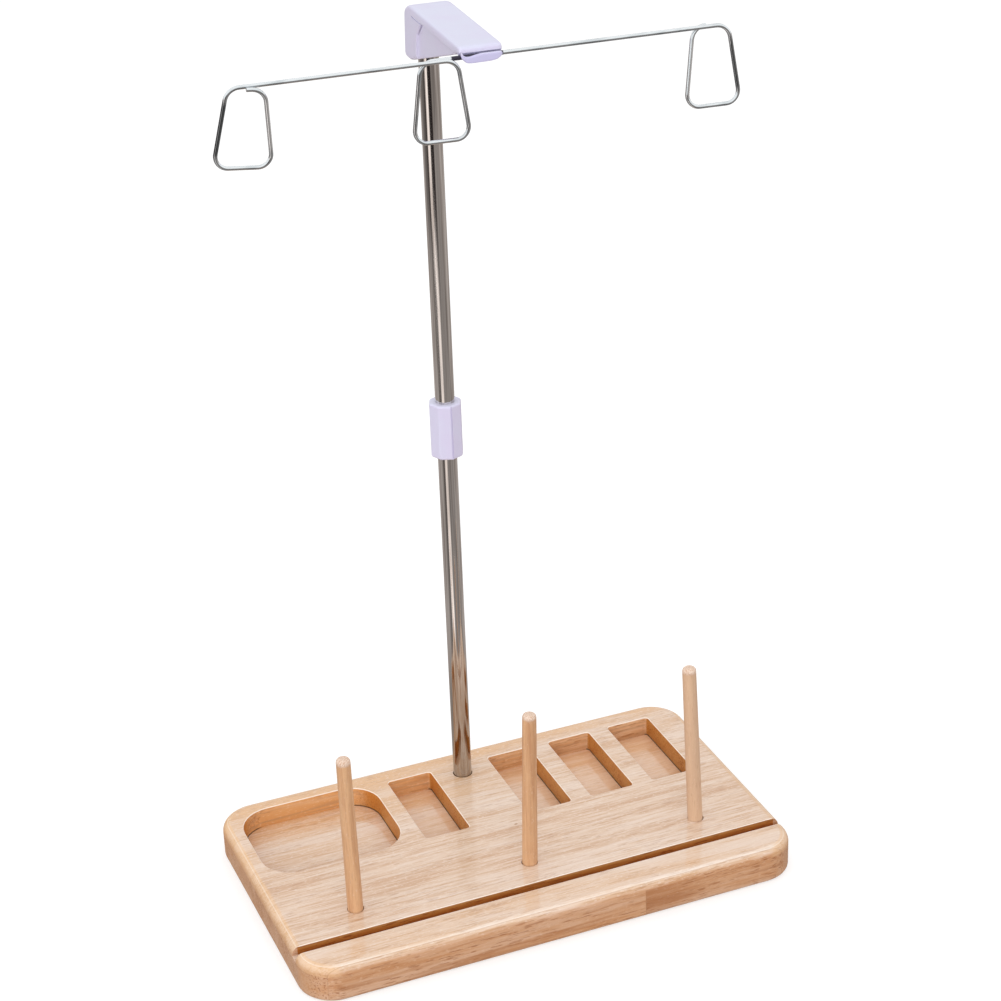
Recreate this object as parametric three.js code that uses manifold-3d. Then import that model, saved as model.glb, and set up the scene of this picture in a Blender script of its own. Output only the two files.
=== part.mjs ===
// Wooden thread cone holder: a routed board with three spool pins, a two-piece steel mast,
// and a moulded head that carries one bent wire with three thread loops.
// Millimetres, +Z up. The origin is the middle of the board's underside; -Y is the front.

import * as THREE from 'three';
import { mergeVertices } from 'three/addons/utils/BufferGeometryUtils.js';
import Module from 'manifold-3d';

const wasm = await Module();
wasm.setup();

// Fits between pieces
const pushFitGap = 0.3; // round a piece that is pushed into a hole
const seatGap = 0.3; // between a piece and the face that it rests on

// Board
const boardLength = 270;
const boardWidth = 160;
const boardThickness = 20;
const boardCornerRadius = 19;
const boardTopEdgeRadius = 5;
const boardBottomEdgeRadius = 2.5;

// Pockets and tray routed into the board's back half
const hollowFloor = 9; // wood left under the pockets and the tray
const hollowFrontWall = 86.3; // from the board's front edge to the hollows
const pocketBackRim = 14.1;
const pocketCornerRadius = 2;
const rightPocketCount = 3;
const rightPocketRim = 19.4; // from the last pocket to the board's right edge
const pocketRib = 11.4; // wood between two pockets
const mastRibRight = 17.8; // from the mast's axis to the pockets on its right
const mastRibLeft = 15.9;
const trayRib = 9.1; // wood between the tray and the pocket beside it
const traySideRim = 9;
const trayBackRim = 10;
const trayCornerRadius = 17.5;

// Card groove along the front
const grooveFromFront = 20.2;
const grooveWidth = 5.6;
const grooveDepth = 5;

// Spool pins
const pinDiameter = 8; // up to the board's top
const pinTipDiameter = 7.2; // the pin tapers to this under its round tip
const pinHeight = 90; // above the board
const pinFromEnd = 39.8; // from the board's end to the pin nearest it
const pinRowFromFront = 43.5;
const pinFloor = 8; // wood left under a pin
const pinTipHeight = 2.2;
const pinTipFlat = 1.4; // radius of the flat on the tip
const pinFootChamfer = 0.8;

// How far each pin leans to the right in its loose hole (degrees)
const leftPinLean = -0.6;
const centerPinLean = 1.5;
const rightPinLean = -2.2;

// Mast
const mastFromBack = 22.6;
const tubeDiameter = 10;
const tubeWall = 1;
const lowerTubeLength = 218.4;
const upperTubeLength = 211.4;

// Screw, washer and end plug that hold the mast to the board
const mastFloor = 3.4; // wood between the mast's hole and the counterbore
const counterboreDepth = 4.6;
const screwDiameter = 4;
const screwEngagement = 8; // length of screw inside the plug
const screwHeadDiameter = 8;
const screwHeadHeight = 2.4;
const screwSlotWidth = 1;
const screwSlotDepth = 1.3;
const washerDiameter = 9;
const washerThickness = 0.8;
const plugLength = 12;

// Sleeve that joins the two tubes
const sleeveLength = 30;
const sleeveAcrossFlats = 16;
const sleeveSides = 8;
const sleeveEdgeRadius = 1.6;
const sleeveEndBevel = 1.2;
const sleeveStop = 2; // web between the tubes' ends
const sleeveStopHole = 6;
const sleeveSeamWidth = 1;
const sleeveSeamDepth = 0.7;

// Head, measured forward from the mast's axis
const headTurn = -4.1; // degrees about the mast, as the head stands in use
const headHeight = 26.6;
const headWidth = 20.4;
const headRoof = 8.6; // above the mast's end
const headPlate = 4.4; // height of the arm's full-width top
const headReach = 87.2; // from the mast's axis to the lip's front
const headBackRadius = 19; // rounding from the back up to the top
const headFootRadius = 3;
const headEdgeRadius = 2.6;
const headFrontCorner = 2;
const armSlope = 0.304; // rise of the arm's underside for each millimetre forward
const armSideStep = 1; // the web is this much narrower than the plate on each side
const socketSideStep = 0.4;
const armWall = 2.2;
const armRib = 2;
const socketWall = 2.5;
const socketBlockReach = 14; // from the mast's axis to the foot of the step in the arm's side
const stepLean = 12; // forward lean of that step, from the head's foot to the plate

// Lip and groove at the head's nose, which hold the wire
const lipDrop = 2.6; // the lip's underside below the wire's axis
const lipRise = 1.8; // the lip's top above the wire's axis
const lipLength = 6.7;
const upperJawRadius = 2.2;
const lipCornerRadius = 3;
const lipFrontRadius = 1;
const wireFromLip = 2.5; // from the wire's axis to the lip's front
const wireMouth = 1.6; // the slit between the lip and the upper jaw, which the wire snaps through

// Thread guide wire
const wireDiameter = 2;
const loopGap = 0.5; // between the wire and itself where it crosses a loop
const loopHeight = 36.6;
const loopTopHalf = 8.1;
const loopBottomHalf = 13.2;
const loopTopRadius = 6.7;
const loopBottomRadius = 5.8;
const leftEndTuck = 8.2; // the wire's left end runs back this far along the loop's top
const rightEndTuck = 6.2;
const leftLoopReach = 107.4; // from the head's middle to the loops' middles
const middleLoopReach = 20.1;
const rightLoopReach = 109.7;

// Loops from left to right: middle from the head's middle, lean to the left within the loop's
// plane and swing back about the straight wire (degrees), as the wire was bent
const loops = [
  { middle: -leftLoopReach, lean: 5.3, swing: 6.6 },
  { middle: -middleLoopReach, lean: 0, swing: 0 },
  { middle: rightLoopReach, lean: 0, swing: -5.2 },
];

// Smoothness of round faces
const roundSides = 48;
const smallRoundSides = 24;
const cornerSteps = 5; // in each half of a round corner
const edgeSteps = 4;
const wireSides = 8;
const bendSteps = 6;

// Places that follow from the sizes above
const boardFront = -boardWidth / 2;
const boardBack = boardWidth / 2;
const boardLeft = -boardLength / 2;
const boardRight = boardLength / 2;
const mastY = boardBack - mastFromBack;
const pinRowY = boardFront + pinRowFromFront;
const pinSpacing = boardRight - pinFromEnd;
const hollowFrontY = boardFront + hollowFrontWall;
const pocketSpan = boardRight - rightPocketRim - mastRibRight - (rightPocketCount - 1) * pocketRib;
const pocketWidth = pocketSpan / rightPocketCount;
const tubeRadius = tubeDiameter / 2;
const boreRadius = tubeRadius + pushFitGap;
const wireRadius = wireDiameter / 2;
const cutMargin = 1; // how far a cutting body runs past the face that it cuts

const mastHoleFloorZ = counterboreDepth + mastFloor;
const lowerTubeBottomZ = mastHoleFloorZ + seatGap;
const lowerTubeTopZ = lowerTubeBottomZ + lowerTubeLength;
const sleeveStopBottomZ = lowerTubeTopZ + seatGap;
const sleeveStopTopZ = sleeveStopBottomZ + sleeveStop;
const sleeveMiddleZ = (sleeveStopBottomZ + sleeveStopTopZ) / 2;
const sleeveBottomZ = sleeveMiddleZ - sleeveLength / 2;
const sleeveTopZ = sleeveMiddleZ + sleeveLength / 2;
const upperTubeBottomZ = sleeveStopTopZ + seatGap;
const upperTubeTopZ = upperTubeBottomZ + upperTubeLength;
const socketTopZ = upperTubeTopZ + seatGap;
const headTopZ = socketTopZ + headRoof;
const headBottomZ = headTopZ - headHeight;
const plateBottomZ = headTopZ - headPlate;
const wireZ = plateBottomZ;
const wireReach = headReach - wireFromLip;
const seatRadius = wireRadius + pushFitGap;
const seatFrontReach = wireReach + seatRadius;
const upperJawReach = seatFrontReach - wireMouth;
const wirePitch = wireDiameter + loopGap;

// Materials
const rubberwood = { color: 0xdfbb8d, roughness: 0.5, metalness: 0 };
const beechDowel = { color: 0xdcae7c, roughness: 0.55, metalness: 0 };
const polishedSteel = { color: 0xb9b2aa, roughness: 0.2, metalness: 1 };
const wireSteel = { color: 0xa9adad, roughness: 0.25, metalness: 1 };
const zincSteel = { color: 0x9fa3a6, roughness: 0.4, metalness: 1 };
const whitePlastic = { color: 0xe4def2, roughness: 0.35, metalness: 0 };

function piece(name, geometry, finish) {
  const mesh = new THREE.Mesh(geometry, new THREE.MeshStandardMaterial(finish));
  mesh.name = name;
  return mesh;
}

// Solids and booleans

function weld(geometry) {
  const bare = geometry.clone();
  bare.deleteAttribute('normal');
  bare.deleteAttribute('uv');
  return mergeVertices(bare, 1e-4);
}

function toSolid(geometry) {
  const welded = weld(geometry);
  const corners = welded.index.array;
  const triangles = [];
  for (let i = 0; i < corners.length; i += 3) {
    const [a, b, c] = [corners[i], corners[i + 1], corners[i + 2]];
    if (a !== b && b !== c && c !== a) triangles.push(a, b, c);
  }
  return new wasm.Manifold(new wasm.Mesh({
    numProp: 3,
    vertProperties: new Float32Array(welded.attributes.position.array),
    triVerts: new Uint32Array(triangles),
  }));
}

function toGeometry(solid) {
  const mesh = solid.getMesh();
  const geometry = new THREE.BufferGeometry();
  geometry.setAttribute('position', new THREE.BufferAttribute(mesh.vertProperties, 3));
  geometry.setIndex(new THREE.BufferAttribute(mesh.triVerts, 1));
  return geometry;
}

function cutAway(solid, cutters) {
  return cutters.reduce((left, cutter) => left.subtract(toSolid(cutter)), solid);
}

// Basic shapes

function box(x0, x1, y0, y1, z0, z1) {
  const geometry = new THREE.BoxGeometry(x1 - x0, y1 - y0, z1 - z0);
  return geometry.translate((x0 + x1) / 2, (y0 + y1) / 2, (z0 + z1) / 2);
}

function upright(radius, x, y, z0, z1, sides = roundSides) {
  const geometry = new THREE.CylinderGeometry(radius, radius, z1 - z0, sides);
  return geometry.rotateX(Math.PI / 2).translate(x, y, (z0 + z1) / 2);
}

// A turned body about the Z axis, from [radius, height] pairs
function turned(profile, sides = roundSides) {
  const points = profile.map(([radius, height]) => new THREE.Vector2(radius, height));
  return new THREE.LatheGeometry(points, sides).rotateX(Math.PI / 2);
}

function ring(outerRadius, innerRadius, z0, z1, sides) {
  return turned([
    [innerRadius, z0],
    [outerRadius, z0],
    [outerRadius, z1],
    [innerRadius, z1],
    [innerRadius, z0],
  ], sides);
}

// A shape drawn in the Y-Z plane and given its thickness along X, centred on X = 0
function sideways(shape, thickness) {
  const geometry = new THREE.ExtrudeGeometry(shape, {
    depth: thickness,
    bevelEnabled: false,
    curveSegments: cornerSteps,
  });
  const turn = new THREE.Matrix4().makeBasis(
    new THREE.Vector3(0, 1, 0),
    new THREE.Vector3(0, 0, 1),
    new THREE.Vector3(1, 0, 0),
  );
  return geometry.translate(0, 0, -thickness / 2).applyMatrix4(turn);
}

function roundedRectangle(x0, x1, y0, y1, radius) {
  const shape = new THREE.Shape();
  const quarter = Math.PI / 2;
  shape.absarc(x1 - radius, y0 + radius, radius, -quarter, 0, false);
  shape.absarc(x1 - radius, y1 - radius, radius, 0, quarter, false);
  shape.absarc(x0 + radius, y1 - radius, radius, quarter, 2 * quarter, false);
  shape.absarc(x0 + radius, y0 + radius, radius, 2 * quarter, 3 * quarter, false);
  shape.closePath();
  return shape;
}

function hollow(x0, x1, y0, y1, radius, floorZ) {
  const geometry = new THREE.ExtrudeGeometry(roundedRectangle(x0, x1, y0, y1, radius), {
    depth: boardThickness - floorZ + cutMargin,
    bevelEnabled: false,
    curveSegments: cornerSteps,
  });
  return geometry.translate(0, 0, floorZ);
}

// Board

// One level of the board's outside: how far it is drawn in, and its height
function boardLevels() {
  const levels = [];
  for (let i = 0; i <= edgeSteps; i += 1) {
    const angle = (i / edgeSteps) * (Math.PI / 2);
    levels.push({
      inset: boardBottomEdgeRadius * (1 - Math.sin(angle)),
      z: boardBottomEdgeRadius * (1 - Math.cos(angle)),
    });
  }
  for (let i = 0; i <= edgeSteps; i += 1) {
    const angle = (i / edgeSteps) * (Math.PI / 2);
    levels.push({
      inset: boardTopEdgeRadius * (1 - Math.cos(angle)),
      z: boardThickness - boardTopEdgeRadius * (1 - Math.sin(angle)),
    });
  }
  return levels;
}

function boardBlank() {
  const rings = boardLevels().map(({ inset, z }) => {
    const outline = roundedRectangle(
      boardLeft + inset,
      boardRight - inset,
      boardFront + inset,
      boardBack - inset,
      boardCornerRadius - inset,
    );
    const points = outline.getPoints(cornerSteps).slice(0, -1); // the last point repeats the first
    return points.map((point) => new THREE.Vector3(point.x, point.y, z));
  });
  return loft(rings);
}

// A closed body through rings of equal point counts, each ring convex and anticlockwise from above
function loft(rings) {
  const count = rings[0].length;
  const positions = rings.flat().flatMap((point) => [point.x, point.y, point.z]);
  const index = [];
  for (let level = 0; level < rings.length - 1; level += 1) {
    for (let i = 0; i < count; i += 1) {
      const next = (i + 1) % count;
      const low = level * count;
      const high = low + count;
      index.push(low + i, low + next, high + next);
      index.push(low + i, high + next, high + i);
    }
  }
  const top = (rings.length - 1) * count;
  for (let i = 1; i < count - 1; i += 1) {
    index.push(0, i + 1, i);
    index.push(top, top + i, top + i + 1);
  }
  const geometry = new THREE.BufferGeometry();
  geometry.setAttribute('position', new THREE.Float32BufferAttribute(positions, 3));
  geometry.setIndex(index);
  return geometry;
}

function pocketCutters() {
  const backY = boardBack - pocketBackRim;
  const cutters = [];
  for (let i = 0; i < rightPocketCount; i += 1) {
    const x0 = mastRibRight + i * (pocketWidth + pocketRib);
    cutters.push(hollow(x0, x0 + pocketWidth, hollowFrontY, backY, pocketCornerRadius, hollowFloor));
  }
  const leftX1 = -mastRibLeft;
  const leftX0 = leftX1 - pocketWidth;
  cutters.push(hollow(leftX0, leftX1, hollowFrontY, backY, pocketCornerRadius, hollowFloor));
  return cutters;
}

function trayCutter() {
  const x1 = -mastRibLeft - pocketWidth - trayRib;
  const x0 = boardLeft + traySideRim;
  return hollow(x0, x1, hollowFrontY, boardBack - trayBackRim, trayCornerRadius, hollowFloor);
}

function grooveCutter() {
  const y0 = boardFront + grooveFromFront;
  const z0 = boardThickness - grooveDepth;
  const z1 = boardThickness + cutMargin;
  return box(boardLeft - cutMargin, boardRight + cutMargin, y0, y0 + grooveWidth, z0, z1);
}

function holeCutters() {
  const aboveZ = boardThickness + cutMargin;
  const pinHoleRadius = pinDiameter / 2 + pushFitGap;
  const screwHoleRadius = screwDiameter / 2 + pushFitGap;
  const counterboreRadius = washerDiameter / 2 + 2 * pushFitGap;
  return [
    ...pinPlaces().map(({ x }) => upright(pinHoleRadius, x, pinRowY, pinFloor, aboveZ)),
    upright(boreRadius, 0, mastY, mastHoleFloorZ, aboveZ),
    upright(screwHoleRadius, 0, mastY, 0, boardThickness, smallRoundSides),
    upright(counterboreRadius, 0, mastY, -cutMargin, counterboreDepth),
  ];
}

function baseBoard() {
  const cutters = [...pocketCutters(), trayCutter(), grooveCutter(), ...holeCutters()];
  return piece('base_board', toGeometry(cutAway(toSolid(boardBlank()), cutters)), rubberwood);
}

// Spool pins

function pinPlaces() {
  return [
    { name: 'spool_pin_left', x: -pinSpacing, lean: leftPinLean },
    { name: 'spool_pin_center', x: 0, lean: centerPinLean },
    { name: 'spool_pin_right', x: pinSpacing, lean: rightPinLean },
  ];
}

// A pin leans about the middle of its stretch in the board, so that it fits its hole
function spoolPin({ name, x, lean }) {
  const radius = pinDiameter / 2;
  const shoulderRadius = pinTipDiameter / 2;
  const footZ = pinFloor + seatGap;
  const leanZ = (footZ + boardThickness) / 2;
  const topZ = boardThickness + pinHeight;
  const shoulderZ = topZ - pinTipHeight;
  const profile = [
    [0, footZ],
    [radius - pinFootChamfer, footZ],
    [radius, footZ + pinFootChamfer],
    [radius, boardThickness],
  ];
  for (let i = 0; i <= edgeSteps; i += 1) {
    const angle = (i / edgeSteps) * (Math.PI / 2);
    const tipRadius = pinTipFlat + (shoulderRadius - pinTipFlat) * Math.cos(angle);
    profile.push([tipRadius, shoulderZ + pinTipHeight * Math.sin(angle)]);
  }
  profile.push([0, topZ]);
  const dowel = turned(profile, smallRoundSides).translate(0, 0, -leanZ);
  const pin = piece(name, dowel, beechDowel);
  pin.position.set(x, pinRowY, leanZ);
  pin.rotation.y = THREE.MathUtils.degToRad(lean);
  return pin;
}

// Mast

function tube(name, z0, z1) {
  return piece(name, ring(tubeRadius, tubeRadius - tubeWall, z0, z1), polishedSteel);
}

function tubeEndPlug() {
  const outerRadius = tubeRadius - tubeWall - pushFitGap;
  const innerRadius = screwDiameter / 2 + pushFitGap;
  const z1 = lowerTubeBottomZ + plugLength;
  return piece('tube_end_plug', ring(outerRadius, innerRadius, lowerTubeBottomZ, z1), zincSteel);
}

function mastWasher() {
  const z1 = counterboreDepth - seatGap;
  const holeRadius = screwDiameter / 2 + pushFitGap;
  const washer = ring(washerDiameter / 2, holeRadius, z1 - washerThickness, z1);
  return piece('mast_washer', washer, zincSteel);
}

function mastScrew() {
  const headTop = counterboreDepth - 2 * seatGap - washerThickness;
  const headBottom = headTop - screwHeadHeight;
  const tipZ = lowerTubeBottomZ + screwEngagement;
  const headRadius = screwHeadDiameter / 2;
  const shankRadius = screwDiameter / 2;
  const headEdge = screwHeadHeight / 3;
  const body = turned([
    [0, headBottom],
    [headRadius - headEdge, headBottom],
    [headRadius, headBottom + headEdge],
    [headRadius, headTop],
    [shankRadius, headTop],
    [shankRadius, tipZ - shankRadius / 2],
    [shankRadius / 2, tipZ],
    [0, tipZ],
  ], smallRoundSides);
  const slotHalf = screwHeadDiameter / 4;
  const slotZ0 = headBottom - cutMargin;
  const slotZ1 = headBottom + screwSlotDepth;
  const slotWide = box(-slotHalf, slotHalf, -screwSlotWidth / 2, screwSlotWidth / 2, slotZ0, slotZ1);
  const slotDeep = box(-screwSlotWidth / 2, screwSlotWidth / 2, -slotHalf, slotHalf, slotZ0, slotZ1);
  const screw = cutAway(toSolid(body), [slotWide, slotDeep]);
  return piece('mast_screw', toGeometry(screw), zincSteel);
}

// Coupling sleeve

// A regular outline with rounded corners, one corner on each axis
function sleeveOutline() {
  const cornerDistance = sleeveAcrossFlats / 2 / Math.cos(Math.PI / sleeveSides);
  const trim = sleeveEdgeRadius * Math.tan(Math.PI / sleeveSides);
  const corners = [];
  for (let i = 0; i < sleeveSides; i += 1) {
    const angle = (i / sleeveSides) * 2 * Math.PI;
    corners.push(new THREE.Vector2(Math.cos(angle), Math.sin(angle)).multiplyScalar(cornerDistance));
  }
  const shape = new THREE.Shape();
  corners.forEach((corner, i) => {
    const before = corners[(i + sleeveSides - 1) % sleeveSides];
    const after = corners[(i + 1) % sleeveSides];
    const start = before.clone().sub(corner).setLength(trim).add(corner);
    const end = after.clone().sub(corner).setLength(trim).add(corner);
    if (i === 0) shape.moveTo(start.x, start.y);
    else shape.lineTo(start.x, start.y);
    shape.quadraticCurveTo(corner.x, corner.y, end.x, end.y);
  });
  shape.closePath();
  return shape;
}

function couplingSleeve() {
  const body = new THREE.ExtrudeGeometry(sleeveOutline(), {
    depth: sleeveLength - 2 * sleeveEndBevel,
    bevelThickness: sleeveEndBevel,
    bevelSize: sleeveEndBevel,
    bevelOffset: -sleeveEndBevel,
    bevelSegments: 3,
    curveSegments: 3,
  }).translate(0, 0, sleeveBottomZ + sleeveEndBevel);
  const flat = sleeveAcrossFlats / 2 / Math.cos(Math.PI / sleeveSides);
  const z0 = sleeveBottomZ - cutMargin;
  const z1 = sleeveTopZ + cutMargin;
  const half = sleeveSeamWidth / 2;
  const sleeve = cutAway(toSolid(body), [
    upright(boreRadius, 0, 0, z0, sleeveStopBottomZ),
    upright(boreRadius, 0, 0, sleeveStopTopZ, z1),
    upright(sleeveStopHole / 2, 0, 0, sleeveStopBottomZ - cutMargin, sleeveStopTopZ + cutMargin),
    box(-half, half, -flat - cutMargin, -flat + sleeveSeamDepth, z0, z1),
  ]);
  return piece('coupling_sleeve', toGeometry(sleeve), whitePlastic);
}

// Head, drawn with the mast's axis at X = Y = 0 and the arm along -Y

// Where the arm's sloping underside leaves the flat foot of the socket
function armFootReach() {
  const slopeEndReach = lipBackReach() - armGapBehindLip();
  return slopeEndReach - (plateBottomZ - headBottomZ) / armSlope;
}

function lipBackReach() {
  return headReach - lipLength;
}

function armGapBehindLip() {
  return lipDrop - wireRadius;
}

function headSideProfile() {
  const back = headWidth / 2;
  const lipBottomZ = wireZ - lipDrop;
  const lipTopZ = wireZ + lipRise;
  const roundReach = headBackRadius - back;
  const shape = new THREE.Shape();
  shape.moveTo(-armFootReach(), headBottomZ);
  shape.absarc(back - headFootRadius, headBottomZ + headFootRadius, headFootRadius, -Math.PI / 2, 0, false);
  shape.absarc(-roundReach, headTopZ - headBackRadius, headBackRadius, 0, Math.PI / 2, false);
  shape.absarc(
    upperJawRadius - upperJawReach,
    headTopZ - upperJawRadius,
    upperJawRadius,
    Math.PI / 2,
    Math.PI,
    false,
  );
  shape.lineTo(-upperJawReach, lipTopZ);
  shape.absarc(
    lipFrontRadius - headReach,
    lipTopZ - lipFrontRadius,
    lipFrontRadius,
    Math.PI / 2,
    Math.PI,
    false,
  );
  shape.absarc(
    lipFrontRadius - headReach,
    lipBottomZ + lipFrontRadius,
    lipFrontRadius,
    Math.PI,
    Math.PI * 1.5,
    false,
  );
  shape.lineTo(-lipBackReach(), lipBottomZ);
  shape.lineTo(-lipBackReach() + armGapBehindLip(), plateBottomZ);
  shape.closePath();
  return shape;
}

function headPlanBody() {
  const half = headWidth / 2;
  const inner = half - headEdgeRadius;
  const front = headReach - headEdgeRadius;
  const corner = headFrontCorner;
  const shape = new THREE.Shape();
  shape.absarc(0, 0, inner, 0, Math.PI, false);
  shape.absarc(corner - inner, corner - front, corner, Math.PI, Math.PI * 1.5, false);
  shape.absarc(inner - corner, corner - front, corner, Math.PI * 1.5, Math.PI * 2, false);
  shape.closePath();
  return new THREE.ExtrudeGeometry(shape, {
    depth: headHeight - 2 * headEdgeRadius,
    bevelThickness: headEdgeRadius,
    bevelSize: headEdgeRadius,
    bevelSegments: edgeSteps,
    curveSegments: roundSides / 4,
  }).translate(0, 0, headBottomZ + headEdgeRadius);
}

// The nose seen from the front, with round lower corners on the lip
function nosePanel() {
  const half = headWidth / 2;
  const z0 = wireZ - lipDrop;
  const shape = new THREE.Shape();
  shape.moveTo(half, headTopZ + cutMargin);
  shape.lineTo(-half, headTopZ + cutMargin);
  shape.absarc(lipCornerRadius - half, z0 + lipCornerRadius, lipCornerRadius, Math.PI, Math.PI * 1.5, false);
  shape.absarc(half - lipCornerRadius, z0 + lipCornerRadius, lipCornerRadius, Math.PI * 1.5, Math.PI * 2, false);
  shape.closePath();
  return shape;
}

// Takes the lip's lower corners off, leaving the rest of the head as it is
function roundLipCorners(head) {
  const depth = headReach - lipBackReach() + cutMargin + armGapBehindLip();
  const panel = new THREE.ExtrudeGeometry(nosePanel(), {
    depth,
    bevelEnabled: false,
    curveSegments: cornerSteps,
  }).rotateX(Math.PI / 2).translate(0, depth - headReach - cutMargin, 0);
  const half = headWidth / 2 + cutMargin;
  const y0 = -headReach - cutMargin;
  const z0 = wireZ - lipDrop - cutMargin;
  const z1 = headTopZ + cutMargin;
  const around = toSolid(box(-half, half, y0, y0 + depth, z0, z1)).subtract(toSolid(panel));
  return head.subtract(around);
}

// The arm's sides are set in a little under the plate, and more in front of the slanting step
function sideRecess(side, startReach, lean, step) {
  const endReach = lipBackReach() - armGapBehindLip();
  const shape = new THREE.Shape();
  shape.moveTo(-startReach, headBottomZ - cutMargin);
  shape.lineTo(-endReach, headBottomZ - cutMargin);
  shape.lineTo(-endReach, plateBottomZ);
  shape.lineTo(-startReach - lean, plateBottomZ);
  shape.closePath();
  const thickness = step + cutMargin;
  const middle = headWidth / 2 - step + thickness / 2;
  return sideways(shape, thickness).translate(side * middle, 0, 0);
}

function armHollow(side) {
  const inner = armRib / 2;
  const outer = headWidth / 2 - armSideStep - armWall;
  const nearReach = boreRadius + socketWall + armWall;
  const farReach = lipBackReach() - 2 * lipLength;
  const roofZ = plateBottomZ + headPlate / 3;
  const [x0, x1] = side > 0 ? [inner, outer] : [-outer, -inner];
  return box(x0, x1, -farReach, -nearReach, headBottomZ - cutMargin, roofZ);
}

// The wire's seat and the slit above it
function wireGroove() {
  const length = headWidth + 2 * cutMargin;
  const seat = new THREE.CylinderGeometry(seatRadius, seatRadius, length, smallRoundSides);
  seat.rotateZ(Math.PI / 2).translate(0, -wireReach, wireZ);
  const half = length / 2;
  const mouth = box(-half, half, -seatFrontReach, -upperJawReach, wireZ, headTopZ);
  return [seat, mouth];
}

function headBracket() {
  const profile = toSolid(sideways(headSideProfile(), headWidth + 2 * cutMargin));
  const blank = roundLipCorners(profile.intersect(toSolid(headPlanBody())));
  const head = cutAway(blank, [
    upright(boreRadius, 0, 0, headBottomZ - cutMargin, socketTopZ),
    sideRecess(-1, socketBlockReach, stepLean, armSideStep),
    sideRecess(1, socketBlockReach, stepLean, armSideStep),
    sideRecess(-1, 0, stepLean, socketSideStep),
    sideRecess(1, 0, stepLean, socketSideStep),
    armHollow(-1),
    armHollow(1),
    ...wireGroove(),
  ]);
  return piece('head_bracket', toGeometry(head), whitePlastic);
}

// Thread guide: one wire, bent at listed corners

// A path with one extrusion step from each listed point to the next
class PointPath extends THREE.Curve {
  constructor(points) {
    super();
    this.points = points;
  }

  indexAt(t) {
    return Math.round(t * (this.points.length - 1));
  }

  getPointAt(t, target = new THREE.Vector3()) {
    return target.copy(this.points[this.indexAt(t)]);
  }

  getTangentAt(t, target = new THREE.Vector3()) {
    const last = this.points.length - 1;
    const i = this.indexAt(t);
    const into = this.points[Math.max(i, 1)].clone().sub(this.points[Math.max(i, 1) - 1]);
    const outOf = this.points[Math.min(i, last - 1) + 1].clone().sub(this.points[Math.min(i, last - 1)]);
    return target.copy(into.normalize()).add(outOf.normalize()).normalize();
  }
}

// Rounds the corner between two straight runs with an arc of the given radius
function bend(before, corner, after, radius) {
  const into = corner.clone().sub(before).normalize();
  const outOf = after.clone().sub(corner).normalize();
  const turn = into.angleTo(outOf);
  const trim = radius * Math.tan(turn / 2);
  const start = corner.clone().addScaledVector(into, -trim);
  const toCenter = outOf.clone().sub(into).normalize();
  const center = corner.clone().addScaledVector(toCenter, radius / Math.cos(turn / 2));
  const spoke = start.clone().sub(center);
  const axis = into.clone().cross(outOf).normalize();
  const points = [];
  for (let i = 0; i <= bendSteps; i += 1) {
    points.push(spoke.clone().applyAxisAngle(axis, (turn * i) / bendSteps).add(center));
  }
  return points;
}

// A point of a loop, from across and up within its plane and the share of its way round.
// The loop hangs from its top left corner, and the wire moves back by one pitch on its way round.
function loopPoint(place, across, up, share) {
  const { middle, lean, swing } = loops[place];
  const leanAngle = THREE.MathUtils.degToRad(lean);
  const swingAngle = THREE.MathUtils.degToRad(swing);
  const fromCorner = across + loopTopHalf;
  const along = fromCorner * Math.cos(leanAngle) + up * Math.sin(leanAngle);
  const drop = up * Math.cos(leanAngle) - fromCorner * Math.sin(leanAngle);
  const stepsLeft = loops.length - 1 - place;
  return new THREE.Vector3(
    middle - loopTopHalf + along,
    -wireReach - (stepsLeft - share) * wirePitch - drop * Math.sin(swingAngle),
    wireZ + drop * Math.cos(swingAngle),
  );
}

// Corners of a loop, clockwise from its top right
function loopCorners(place) {
  const corner = (across, up, share, radius) => ({ point: loopPoint(place, across, up, share), radius });
  return [
    corner(loopTopHalf, 0, 0, loopTopRadius),
    corner(loopBottomHalf, -loopHeight, 0.3, loopBottomRadius),
    corner(-loopBottomHalf, -loopHeight, 0.6, loopBottomRadius),
    corner(-loopTopHalf, 0, 1, loopTopRadius),
  ];
}

function guidePoints() {
  const corners = loops.flatMap((_, place) => loopCorners(place));
  const first = loopPoint(0, loopTopHalf - leftEndTuck, 0, 0);
  const last = loopPoint(loops.length - 1, rightEndTuck - loopTopHalf, 0, 1);
  const points = [first];
  corners.forEach(({ point, radius }, i) => {
    const before = i === 0 ? first : corners[i - 1].point;
    const after = i === corners.length - 1 ? last : corners[i + 1].point;
    points.push(...bend(before, point, after, radius));
  });
  points.push(last);
  return points;
}

function threadGuide() {
  const section = new THREE.Shape();
  section.absarc(0, 0, wireRadius, 0, Math.PI * 2, false);
  const points = guidePoints();
  const wire = new THREE.ExtrudeGeometry(section, {
    steps: points.length - 1,
    extrudePath: new PointPath(points),
    curveSegments: wireSides / 2,
  });
  return piece('thread_guide', wire, wireSteel);
}

// Assembly

function mastAssembly() {
  const mast = new THREE.Group();
  mast.position.y = mastY;
  const head = new THREE.Group();
  head.rotation.z = THREE.MathUtils.degToRad(headTurn);
  head.add(headBracket(), threadGuide());
  mast.add(
    tube('lower_tube', lowerTubeBottomZ, lowerTubeTopZ),
    tubeEndPlug(),
    mastWasher(),
    mastScrew(),
    couplingSleeve(),
    tube('upper_tube', upperTubeBottomZ, upperTubeTopZ),
    head,
  );
  return mast;
}

const holder = new THREE.Group();
holder.add(baseBoard(), ...pinPlaces().map(spoolPin), mastAssembly());

export default holder;
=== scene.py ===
"""Looks of the thread cone holder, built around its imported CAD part."""
import logging
import math
from dataclasses import dataclass
from enum import Enum
from typing import Callable, Iterable, Sequence

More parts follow.
